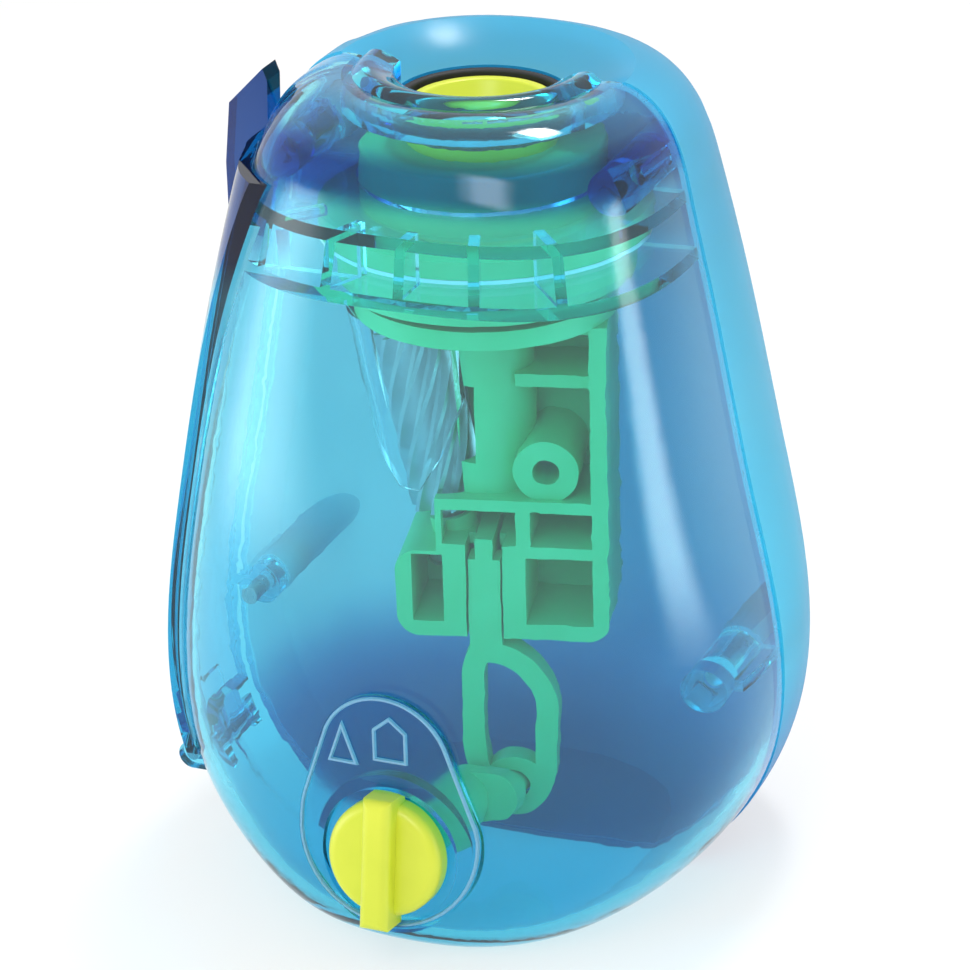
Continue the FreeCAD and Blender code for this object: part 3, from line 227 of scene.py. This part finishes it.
def clear_blue_polystyrene(name, height_colours):
    """Glass-clear and glossy; dyed blue all through, with a frosted plate round the knob."""
    material, tree, shader = finish(
        name, IOR=1.42, Specular_IOR_Level=0.24, Transmission_Weight=0.98)
    where = add(tree, "ShaderNodeTexCoord").outputs["Object"]
    ripple = add(tree, "ShaderNodeTexNoise", {"Scale": per_metre(RIPPLE_MM), "Detail": 1.0},
                 {"Vector": where})
    wavy = add(tree, "ShaderNodeBump", {"Strength": 0.10, "Distance": 0.25 * MM},
               {"Height": ripple.outputs["Fac"]})
    frost = add(tree, "ShaderNodeTexNoise", {"Scale": per_metre(FROST_MM), "Detail": 2.0},
                {"Vector": where})
    mask = plate_mask(tree, where)
    grain = add(tree, "ShaderNodeMath", links={0: frost.outputs["Fac"], 1: mask}, operation="MULTIPLY")
    grainy = add(tree, "ShaderNodeBump", {"Strength": 0.12, "Distance": 0.05 * MM},
                 {"Height": grain.outputs[0], "Normal": wavy.outputs["Normal"]})
    # The surface colour follows the height, including the painted reflection of the band under the lip
    base_colour = add(tree, "ShaderNodeMix", {"B": colour(PLATE_TINT)},
               {"Factor": mask, "A": by_height(tree, where, height_colours)}, data_type="RGBA")
    rough = add(tree, "ShaderNodeMapRange", {"To Min": 0.015, "To Max": 0.13}, {"Value": mask})
    tree.links.new(base_colour.outputs["Result"], shader.inputs["Base Color"])
    tree.links.new(rough.outputs["Result"], shader.inputs["Roughness"])
    tree.links.new(grainy.outputs["Normal"], shader.inputs["Normal"])
    dye = add(tree, "ShaderNodeVolumeAbsorption", {"Color": colour(DYE), "Density": DYE_DENSITY})
    tree.links.new(dye.outputs["Volume"], tree.nodes["Material Output"].inputs["Volume"])
    let_light_in(tree, shader)
    return material


clear_case = clear_blue_polystyrene("clear_blue_polystyrene", CASE_TINTS_AND_PAINTED_REFLECTION)
clear_door = clear_blue_polystyrene("clear_blue_door_polystyrene", DOOR_TINTS)
print("made", clear_case.name, "and", clear_door.name)

# %% [markdown]
# ## Milky blue polypropylene
# The back of the case is sky blue polypropylene with a white filler, so it passes light but no
# picture. Subsurface scattering would show that, at a high cost in render time. The wall is thin,
# so a Translucent shader mixed with a satin skin gives the same soft glow. Its blue is painted shade:
# deeper towards the bottom, and deeper on its inner face than on its outer one, where less light
# reaches it. The wall is palest on the door's side, on both faces, a painted light for the bright
# light that comes through the case there. A fine mould grain breaks the highlights.

# %% Painted shade on the inner face of the milky wall
CASE_MIDDLE = Vector((0, 0, 60)) * MM
# Both blues are painted shade, deeper towards the bottom; the inner ones are deeper still, as painted
# shade on the inner face
OUTER_BLUES_PAINTED_SHADE = [(3, "0474B2"), (13, "1AA2D8"), (32, "60E0F4"), (112, "5CD2EE")]
INNER_BLUES_PAINTED_SHADE = [(3, "0072B4"), (13, "0494D0"), (32, "12B0DA"), (112, "1CB2DA")]


def inner_face(tree, spot):
    """1 on faces that look towards the middle of the case, 0 on those that look away."""
    from_middle = add(tree, "ShaderNodeVectorMath", {1: CASE_MIDDLE}, {0: spot.outputs["Object"]},
                      operation="SUBTRACT")
    outwards = add(tree, "ShaderNodeVectorMath", operation="DOT_PRODUCT",
                   links={0: spot.outputs["Normal"], 1: from_middle.outputs[0]})
    inner = add(tree, "ShaderNodeMath", {1: 0.0}, {0: outwards.outputs["Value"]}, operation="LESS_THAN")
    return inner.outputs[0]


print("inner face looks towards a point", round(CASE_MIDDLE.z / MM), "mm up")

# %% Painted light on the pale side of the milky wall
# Axis, and the places in mm where the painted light of the pale area begins and where it is full
PAINTED_LIGHT_EDGES = [("X", 14, -20), ("Z", 10, 24), ("Z", 100, 84)]
PAINTED_LIGHT_MOST, CLOUD_MOST, CLOUD_MM = 0.8, 0.2, 26.0


def painted_light_and_clouds(tree, where):
    """How far the blue is paled: by painted light on the door's side, and in real slow clouds of the
    filler.
    """
    across = add(tree, "ShaderNodeSeparateXYZ", links={"Vector": where})
    cloud = add(tree, "ShaderNodeTexNoise", {"Scale": per_metre(CLOUD_MM), "Detail": 2.0},
                {"Vector": where})
    before = {}
    for axis, none, full in PAINTED_LIGHT_EDGES:
        fade = add(tree, "ShaderNodeMapRange", {"From Min": none * MM, "From Max": full * MM},
                   {"Value": across.outputs[axis]}, interpolation_type="SMOOTHSTEP")
        share = add(tree, "ShaderNodeMath", {0: PAINTED_LIGHT_MOST}, {1: fade.outputs["Result"], **before},
                    operation="MULTIPLY")
        before = {0: share.outputs[0]}
    cloudy = add(tree, "ShaderNodeMapRange", {"To Max": CLOUD_MOST}, {"Value": cloud.outputs["Fac"]})
    pale = add(tree, "ShaderNodeMath", links={1: cloudy.outputs["Result"], **before}, operation="ADD")
    return pale.outputs[0]


print("pale on the door's side between", PAINTED_LIGHT_EDGES[1][1], "and", PAINTED_LIGHT_EDGES[2][1], "mm up")

# %% Milky case
MILKY_GLOW, SKIN_GRAIN_MM = 0.6, 0.5


def milky_blue_polypropylene():
    """Satin and cloudy: light comes through the wall softly, and no picture does."""
    material, tree, shader = finish("milky_blue_polypropylene", IOR=1.49)
    spot = add(tree, "ShaderNodeTexCoord")
    where = spot.outputs["Object"]
    # Painted shade: deeper blue towards the bottom and on the inner face of the wall
    painted_shade_blue = add(tree, "ShaderNodeMix", data_type="RGBA", links={
        "Factor": inner_face(tree, spot), "A": by_height(tree, where, OUTER_BLUES_PAINTED_SHADE),
        "B": by_height(tree, where, INNER_BLUES_PAINTED_SHADE)})
    # The pale colour mixed in is painted light on the door's side, along with real clouds of the filler
    milk_with_painted_light = add(tree, "ShaderNodeMix", {"B": colour("C2F2FA")},
               {"Factor": painted_light_and_clouds(tree, where), "A": painted_shade_blue.outputs["Result"]}, data_type="RGBA")
    grain = add(tree, "ShaderNodeTexNoise", {"Scale": per_metre(SKIN_GRAIN_MM), "Detail": 2.0},
                {"Vector": where})
    skin = add(tree, "ShaderNodeBump", {"Strength": 0.04, "Distance": 0.03 * MM},
               {"Height": grain.outputs["Fac"]})
    rough = add(tree, "ShaderNodeMapRange", {"To Min": 0.16, "To Max": 0.24},
                {"Value": grain.outputs["Fac"]})
    tree.links.new(milk_with_painted_light.outputs["Result"], shader.inputs["Base Color"])
    tree.links.new(rough.outputs["Result"], shader.inputs["Roughness"])
    tree.links.new(skin.outputs["Normal"], shader.inputs["Normal"])
    glow = add(tree, "ShaderNodeBsdfTranslucent", links={"Color": milk_with_painted_light.outputs["Result"]})
    wall = add(tree, "ShaderNodeMixShader", {0: MILKY_GLOW},
               {1: shader.outputs["BSDF"], 2: glow.outputs["BSDF"]})
    tree.links.new(wall.outputs["Shader"], tree.nodes["Material Output"].inputs["Surface"])
    return material


milky_case = milky_blue_polypropylene()
print("made", milky_case.name, "with", len(milky_case.node_tree.nodes), "nodes")

# %% [markdown]
# ## Opaque mouldings
# The knob and the pencil port are lime ABS, the mechanism is green acetal, the pinion and the slip
# washer are white acetal, and the rings are black rubber, which hardly shines. All are moulded with
# a fine spark-eroded grain, real pits of about 0.1 mm, drawn coarser because the finer ones would
# fall between the pixels. A slow drift between two tones keeps each from being one flat colour.


# %% Moulded plastics and rubber
DRIFT_MM, PIT_MM, RUBBER_PIT_MM = 8.0, 0.35, 0.6
SHEEN_SPREAD = 0.05


def moulded(name, dark, light, roughness, grain_mm=PIT_MM):
    """Satin moulded plastic; a slow drift between two tones and a fine grain in the skin."""
    material, tree, shader = finish(name, IOR=1.53)
    where = add(tree, "ShaderNodeTexCoord").outputs["Object"]
    drift = add(tree, "ShaderNodeTexNoise", {"Scale": per_metre(DRIFT_MM), "Detail": 3.0},
                {"Vector": where})
    tone = add(tree, "ShaderNodeValToRGB", links={"Fac": drift.outputs["Fac"]})
    tone.color_ramp.elements[0].color = colour(dark)
    tone.color_ramp.elements[1].color = colour(light)
    grain = add(tree, "ShaderNodeTexNoise", {"Scale": per_metre(grain_mm), "Detail": 2.0},
                {"Vector": where})
    skin = add(tree, "ShaderNodeBump", {"Strength": 0.10, "Distance": 0.04 * MM},
               {"Height": grain.outputs["Fac"]})
    rough = add(tree, "ShaderNodeMapRange",
                {"To Min": roughness - SHEEN_SPREAD, "To Max": roughness + SHEEN_SPREAD},
                {"Value": grain.outputs["Fac"]})
    tree.links.new(tone.outputs["Color"], shader.inputs["Base Color"])
    tree.links.new(rough.outputs["Result"], shader.inputs["Roughness"])
    tree.links.new(skin.outputs["Normal"], shader.inputs["Normal"])
    return material


lime_abs = moulded("lime_abs", "C4D02C", "D8DE3E", 0.36)
green_acetal = moulded("green_acetal", "2FBF78", "50D294", 0.42)
white_acetal = moulded("white_acetal", "E4E6E2", "F4F5F2", 0.35)
black_rubber = moulded("black_rubber", "0E0F11", "1A1B1D", 0.62, RUBBER_PIT_MM)
print("made", [m.name for m in (lime_abs, green_acetal, white_acetal, black_rubber)])

# %% [markdown]
# ## Metals and the clear guard
# The helical cutter is hardened carbon steel, ground along its flutes, so its roughness varies in
# streaks. The screws, the pin, the clip and the shaft are bright steel, and the two bushes of the
# shaft are sintered bronze. A noise stretched upwards gives all of them their streaks. The guard in
# front of the cutter is undyed polycarbonate, so clear that only its edges and a trace of flow
# marks show.


# %% Ground metals
STREAK_STRETCH = (1.0, 1.0, 0.12)


def ground_metal(name, base_colour, roughness, streak_mm):
    """Metal with grinding streaks, which stretch the highlight along the axis."""
    material, tree, shader = finish(name, Base_Color=colour(base_colour), Metallic=1.0)
    where = add(tree, "ShaderNodeTexCoord").outputs["Object"]
    stretched = add(tree, "ShaderNodeMapping", {"Scale": STREAK_STRETCH}, {"Vector": where})
    streak = add(tree, "ShaderNodeTexNoise", {"Scale": per_metre(streak_mm), "Detail": 3.0},
                 {"Vector": stretched.outputs["Vector"]})
    rough = add(tree, "ShaderNodeMapRange", {"To Min": roughness - 0.08, "To Max": roughness + 0.12},
                {"Value": streak.outputs["Fac"]})
    scored = add(tree, "ShaderNodeBump", {"Strength": 0.06, "Distance": 0.02 * MM},
                 {"Height": streak.outputs["Fac"]})
    tree.links.new(rough.outputs["Result"], shader.inputs["Roughness"])
    tree.links.new(scored.outputs["Normal"], shader.inputs["Normal"])
    return material


sintered_bronze = ground_metal("sintered_bronze", "B98A4E", 0.42, streak_mm=0.6)
bright_steel = ground_metal("bright_steel", "C4C6C9", 0.28, streak_mm=0.4)
cutter_steel = ground_metal("ground_cutter_steel", "C9CED3", 0.38, streak_mm=1.2)
print("made", [m.name for m in (sintered_bronze, bright_steel, cutter_steel)])

# %% Clear guard
FLOW_MM = 6.0


def clear_polycarbonate():
    """Undyed and glossy, with a trace of flow marks from moulding."""
    material, tree, shader = finish(
        "clear_polycarbonate", Base_Color=colour(CLEAR_FILM), IOR=1.58, Transmission_Weight=1.0)
    where = add(tree, "ShaderNodeTexCoord").outputs["Object"]
    flow = add(tree, "ShaderNodeTexNoise", {"Scale": per_metre(FLOW_MM), "Detail": 1.0},
               {"Vector": where})
    rough = add(tree, "ShaderNodeMapRange", {"To Min": 0.02, "To Max": 0.08},
                {"Value": flow.outputs["Fac"]})
    tree.links.new(rough.outputs["Result"], shader.inputs["Roughness"])
    let_light_in(tree, shader)
    return material


clear_guard = clear_polycarbonate()
print("made", clear_guard.name)

# %% [markdown]
# ## Dress the solids
# The record of the part gives each solid a slot, which is its kind of material. One table turns a
# slot into a finish, so a solid that is added later is dressed without a new line here. Only the
# door has its own finish within the clear slot, because its thumb tab is a darker blue.

# %% Finish of each solid
FINISHES = {
    "clear_case": clear_case,
    "milky_case": milky_case,
    "lime_plastic": lime_abs,
    "green_plastic": green_acetal,
    "acetal": white_acetal,
    "black_rubber": black_rubber,
    "clear_guard": clear_guard,
    "bronze": sintered_bronze,
    "steel": bright_steel,
    "cutter_steel": cutter_steel,
}
slots = {part["node"]: part["material_slot"] for part in frame["record"]["subparts"]}
for name, solid in nodes.items():
    solid.data.materials.clear()
    solid.data.materials.append(clear_door if name == "shavings_door" else FINISHES[slots[name]])
    print(name, "wears", solid.data.materials[0].name)

# %% [markdown]
# ## Raised lines on the knob plate
# The mould leaves thin raised lines on the plate: a triangle for a sharp point, a house-shaped
# pentagon for a blunt one, and a bead along the plate's rim. A bump could fake them, but real lines
# catch the light at their edges, so each is a closed ring of small trapezoids. It is swept round
# the corners of an outline and dropped on to the curved plate by casting a ray at every corner. The
# etched mould leaves their polystyrene frosted, so they show paler than the clear wall.

# %% Frosted line
SPECKLE_MM = 0.45


def frosted_blue_line():
    """Pale and dull, with the fine speckle of an etched mould."""
    material, tree, shader = finish("frosted_blue_line", IOR=1.50, Transmission_Weight=0.6)
    where = add(tree, "ShaderNodeTexCoord").outputs["Object"]
    speckle = add(tree, "ShaderNodeTexNoise", {"Scale": per_metre(SPECKLE_MM)}, {"Vector": where})
    pale = add(tree, "ShaderNodeMix", {"A": colour("8FD0EE"), "B": colour("AFE2F6")},
               {"Factor": speckle.outputs["Fac"]}, data_type="RGBA")
    dull = add(tree, "ShaderNodeMapRange", {"To Min": 0.3, "To Max": 0.45},
               {"Value": speckle.outputs["Fac"]})
    tree.links.new(pale.outputs["Result"], shader.inputs["Base Color"])
    tree.links.new(dull.outputs["Result"], shader.inputs["Roughness"])
    return material


line_finish = frosted_blue_line()
print("made", line_finish.name)

# %% Lines laid on the plate
LINE_WIDTH, LINE_HEIGHT, LINE_SUNK = 0.5 * MM, 0.45 * MM, 0.04 * MM
FOOT_SHARE, TOP_SHARE = 0.5, 0.28
RAY_START = 60 * MM


def shifted(corners, distance):
    """Polygon with every side moved outwards; corners run anticlockwise."""
    moved = []
    for before, here, after in zip(corners[-1:] + corners[:-1], corners, corners[1:] + corners[:1]):
        one, two = (here - before).normalized(), (after - here).normalized()
        normals = Vector((one.y, -one.x)) + Vector((two.y, -two.x))
        moved.append(here + normals * distance * 2 / normals.length_squared)
    return moved


def on_plate(across, rise, height):
    """Point this high above the plate's surface, by its place in the selector's own plane."""
    far_out = CRANK_POINT + Vector((across, 0, 0)) + SELECTOR_UP * rise + SELECTOR_OUT * RAY_START
    hit, point, _, _ = nodes["front_shell"].ray_cast(far_out, -SELECTOR_OUT)
    if not hit:
        raise ValueError("a raised line leaves the front shell")
    return point + SELECTOR_OUT * height


print("lines are", LINE_WIDTH / MM, "mm wide and stand", LINE_HEIGHT / MM, "mm proud")


# %% Ring of trapezoids
def raised_line(name, centre, corners):
    """Ring with a trapezoid section that follows the outline and lies on the plate; sizes in mm."""
    corners = [Vector(c) * MM for c in corners]
    section = [(FOOT_SHARE, -LINE_SUNK), (TOP_SHARE, LINE_HEIGHT),
               (-TOP_SHARE, LINE_HEIGHT), (-FOOT_SHARE, -LINE_SUNK)]
    shape = bmesh.new()
    rings = []
    for share, height in section:
        loop = shifted(corners, share * LINE_WIDTH)
        rings.append([shape.verts.new(on_plate(centre[0] * MM + c.x, centre[1] * MM + c.y, height))
                      for c in loop])
    for ring, following in zip(rings, rings[1:] + rings[:1]):
        for i in range(len(ring)):
            j = (i + 1) % len(ring)
            shape.faces.new((ring[i], ring[j], following[j], following[i]))
    bmesh.ops.recalc_face_normals(shape, faces=shape.faces)
    mesh = bpy.data.meshes.new(name)
    shape.to_mesh(mesh)
    shape.free()
    line = bpy.data.objects.new(name, mesh)
    bpy.context.scene.collection.objects.link(line)
    mesh.materials.append(line_finish)
    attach(line, "case")
    print(name, "has", len(mesh.polygons), "faces")


# Centres and corners in mm, seen along the selector's axis
SHARP_CENTRE, SHARP_TRIANGLE = (-5.9, 15.4), [(-1.9, -2.6), (1.9, -2.6), (0.0, 2.6)]
BLUNT_CENTRE = (0.9, 16.9)
BLUNT_HOUSE = [(-2.2, -3.0), (2.2, -3.0), (2.2, 1.2), (0.0, 3.0), (-2.2, 1.2)]
raised_line("sharp_point_sign", SHARP_CENTRE, SHARP_TRIANGLE)
raised_line("blunt_point_sign", BLUNT_CENTRE, BLUNT_HOUSE)

# %% Bead along the plate's rim
RIM_INSET_MM, RIM_STEPS = 0.45, 28


def egg_outline(inset, steps):
    """Anticlockwise corners, in mm, of the plate's outline moved inwards."""
    low, high = PLATE_LOW / MM, PLATE_HIGH / MM
    low_radius, high_radius = PLATE_LOW_RADIUS / MM - inset, PLATE_HIGH_RADIUS / MM - inset
    touch = math.asin((low_radius - high_radius) / (high - low))
    sweeps = [(high, high_radius, touch, math.pi - touch),
              (low, low_radius, math.pi - touch, math.tau + touch)]
    corners = []
    for middle, radius, start, end in sweeps:
        for i in range(steps):
            turn = start + (end - start) * i / steps
            corners.append((radius * math.cos(turn), middle + radius * math.sin(turn)))
    return corners


raised_line("plate_rim_bead", (0, 0), egg_outline(RIM_INSET_MM, RIM_STEPS))

# %% [markdown]
# ## Camera
# The photograph looks down at the front right of the case through a long lens. A camera could be
# tracked on to an empty, but then its small tilt would be lost. Here it is set by its angles round
# the object, its distance and the tilt of the frame. The lens shift only centres the picture.

# %% Camera
IMAGE_PX = 970
FOCAL_PX = 4426
CENTRE_PX = (493.4, 508.4)
AZIMUTH, ELEVATION, ROLL = math.radians(23.03), math.radians(24.44), math.radians(-1.62)
AIM = Vector((0, 0, 50)) * MM
DISTANCE = 598 * MM
SENSOR_MM = 36.0
lens = bpy.data.cameras.new("studio_camera")
lens.sensor_width = SENSOR_MM
lens.lens = SENSOR_MM * FOCAL_PX / IMAGE_PX
lens.shift_x = (IMAGE_PX / 2 - CENTRE_PX[0]) / IMAGE_PX
lens.shift_y = (CENTRE_PX[1] - IMAGE_PX / 2) / IMAGE_PX
lens.clip_start = 10 * MM
camera = bpy.data.objects.new("studio_camera", lens)
bpy.context.scene.collection.objects.link(camera)
towards_camera = Vector((math.sin(AZIMUTH) * math.cos(ELEVATION),
                         -math.cos(AZIMUTH) * math.cos(ELEVATION), math.sin(ELEVATION)))
camera.rotation_mode = "QUATERNION"
camera.location = AIM + towards_camera * DISTANCE
level = (-towards_camera).to_track_quat("-Z", "Y")
camera.rotation_quaternion = level @ Quaternion((0, 0, 1), ROLL)
bpy.context.scene.camera = camera
print("camera at", [round(x / MM) for x in camera.location], "mm, lens", round(lens.lens, 1))

# %% [markdown]
# ## White floor and backdrop
# The object stands on white paper. More light would also make the paper white, but it would bleach
# the object. So the paper glows a little for rays that end in the eye, straight, mirrored or through
# glass, and is plain white paper for the light that falls on the object, which keeps its shadow. The
# world does the same round about.


# %% White paper
PAPER_GLOW = 0.6


def seen_by_eye(tree):
    """1 for what the eye sees straight, mirrored or through glass, 0 for light on the object."""
    path = add(tree, "ShaderNodeLightPath")
    seen = add(tree, "ShaderNodeMath", operation="MAXIMUM",
               links={0: path.outputs["Is Camera Ray"], 1: path.outputs["Is Glossy Ray"]})
    through = add(tree, "ShaderNodeMath", operation="MAXIMUM",
                  links={0: seen.outputs[0], 1: path.outputs["Is Transmission Ray"]})
    return through.outputs[0]


def white_paper():
    """Dull white paper that glows a little for the eye alone."""
    material, tree, shader = finish("white_paper", Base_Color=colour("FAFAFA"), Roughness=0.9)
    share = add(tree, "ShaderNodeMath", {1: PAPER_GLOW}, {0: seen_by_eye(tree)}, operation="MULTIPLY")
    white = add(tree, "ShaderNodeEmission", {"Color": colour("FFFFFF"), "Strength": 1.0})
    sweep = add(tree, "ShaderNodeMixShader", links={
        0: share.outputs[0], 1: shader.outputs["BSDF"], 2: white.outputs["Emission"]})
    tree.links.new(sweep.outputs["Shader"], tree.nodes["Material Output"].inputs["Surface"])
    return material


paper = white_paper()
print("made", paper.name)

# %% Floor
FLOOR_HALF, FLOOR_GAP = 1.5, 0.2 * MM
floor_mesh = bpy.data.meshes.new("floor")
floor_corners = [(-FLOOR_HALF, -FLOOR_HALF, 0), (FLOOR_HALF, -FLOOR_HALF, 0),
                 (FLOOR_HALF, FLOOR_HALF, 0), (-FLOOR_HALF, FLOOR_HALF, 0)]
floor_mesh.from_pydata(floor_corners, [], [(0, 1, 2, 3)])
floor_mesh.materials.append(paper)
floor = bpy.data.objects.new("floor", floor_mesh)
bpy.context.scene.collection.objects.link(floor)
floor.location.z = cad_low.z - FLOOR_GAP
print("floor", 2 * FLOOR_HALF, "m square")

# %% World
WORLD_LIGHT, WORLD_SEEN = 0.8, 1.0
world = bpy.data.worlds.new("studio")
bpy.context.scene.world = world
world.use_nodes = True
sky = world.node_tree
level_of_light = add(sky, "ShaderNodeMapRange", {"To Min": WORLD_LIGHT, "To Max": WORLD_SEEN},
                     {"Value": seen_by_eye(sky)})
backdrop = sky.nodes["Background"]
backdrop.inputs["Color"].default_value = colour("FFFFFF")
sky.links.new(level_of_light.outputs["Result"], backdrop.inputs["Strength"])
print("the world lights the object at", WORLD_LIGHT, "and is seen at", WORLD_SEEN)

# %% [markdown]
# ## Soft boxes
# Four lamps shape the case: a broad card at the left and a tall strip at the right draw the long
# highlights down its sides, a box in front lights the inside, and one above lights the dome. A plain
# rectangle of light has a hard-edged mirror image in glossy plastic. A real soft box is brightest in
# the middle of its cloth, so each lamp fades towards its edges.


# %% Soft edges of a lamp
# Shares of a lamp's width and height, from its middle: full light as far as these, none at its edge
FULL_ACROSS, FULL_ALONG, EDGE = 0.12, 0.3, 0.5
LAMP_MIDDLE = (0.5, 0.5, 0)


def fade_to_edges(tree):
    """Dim a lamp towards its edges, as cloth over a soft box does."""
    spot = add(tree, "ShaderNodeNewGeometry").outputs["Parametric"]
    off = add(tree, "ShaderNodeVectorMath", {1: LAMP_MIDDLE}, {0: spot}, operation="SUBTRACT")
    from_middle = add(tree, "ShaderNodeVectorMath", links={0: off.outputs[0]}, operation="ABSOLUTE")
    sides = add(tree, "ShaderNodeSeparateXYZ", links={"Vector": from_middle.outputs[0]})
    both = add(tree, "ShaderNodeMath", operation="MULTIPLY")
    for socket, (axis, full) in enumerate((("X", FULL_ACROSS), ("Y", FULL_ALONG))):
        fade = add(tree, "ShaderNodeMapRange", {"From Min": EDGE, "From Max": full},
                   {"Value": sides.outputs[axis]}, interpolation_type="SMOOTHSTEP")
        tree.links.new(fade.outputs["Result"], both.inputs[socket])
    tree.links.new(both.outputs[0], tree.nodes["Emission"].inputs["Strength"])


print("lamps are full over", 2 * FULL_ACROSS, "of their width and", 2 * FULL_ALONG, "of their height")


# %% Lamps
def soft_box(name, place_mm, aim_mm, width_mm, height_mm, watts):
    """Rectangular studio light that faces a point and doesn't show in the picture itself."""
    data = bpy.data.lights.new(name, "AREA")
    data.shape = "RECTANGLE"
    data.size, data.size_y = width_mm * MM, height_mm * MM
    data.energy = watts
    data.use_nodes = True
    fade_to_edges(data.node_tree)
    box = bpy.data.objects.new(name, data)
    bpy.context.scene.collection.objects.link(box)
    box.location = Vector(place_mm) * MM
    box.rotation_mode = "QUATERNION"
    box.rotation_quaternion = (Vector(aim_mm) * MM - box.location).to_track_quat("-Z", "Y")
    box.visible_camera = False
    print(name, watts, "W,", width_mm, "x", height_mm, "mm")


OBJECT_MIDDLE, ABOVE_OBJECT = (0, 0, 50), (0, 0, 493)
soft_box("left_card", (-254, -159, 95), ABOVE_OBJECT, width_mm=260, height_mm=330, watts=1.0)
soft_box("right_strip", (298, 38, 95), ABOVE_OBJECT, width_mm=120, height_mm=340, watts=0.72)
soft_box("front_box", (60, -480, 420), OBJECT_MIDDLE, width_mm=320, height_mm=320, watts=1.9)
soft_box("top_box", (40, 150, 560), OBJECT_MIDDLE, width_mm=150, height_mm=100, watts=2.4)

# %% [markdown]
# ## Bounces and view
# A ray crosses many clear walls before it comes out behind the case, and one that runs out of
# bounces turns black, so the limit is raised. The view transform stays Standard, which shows a
# colour about as it is written.

WALLS_CROSSED = 24
bpy.context.scene.view_settings.view_transform = "Standard"
light_paths = bpy.context.scene.cycles
light_paths.max_bounces = light_paths.transmission_bounces = WALLS_CROSSED
light_paths.transparent_max_bounces = WALLS_CROSSED
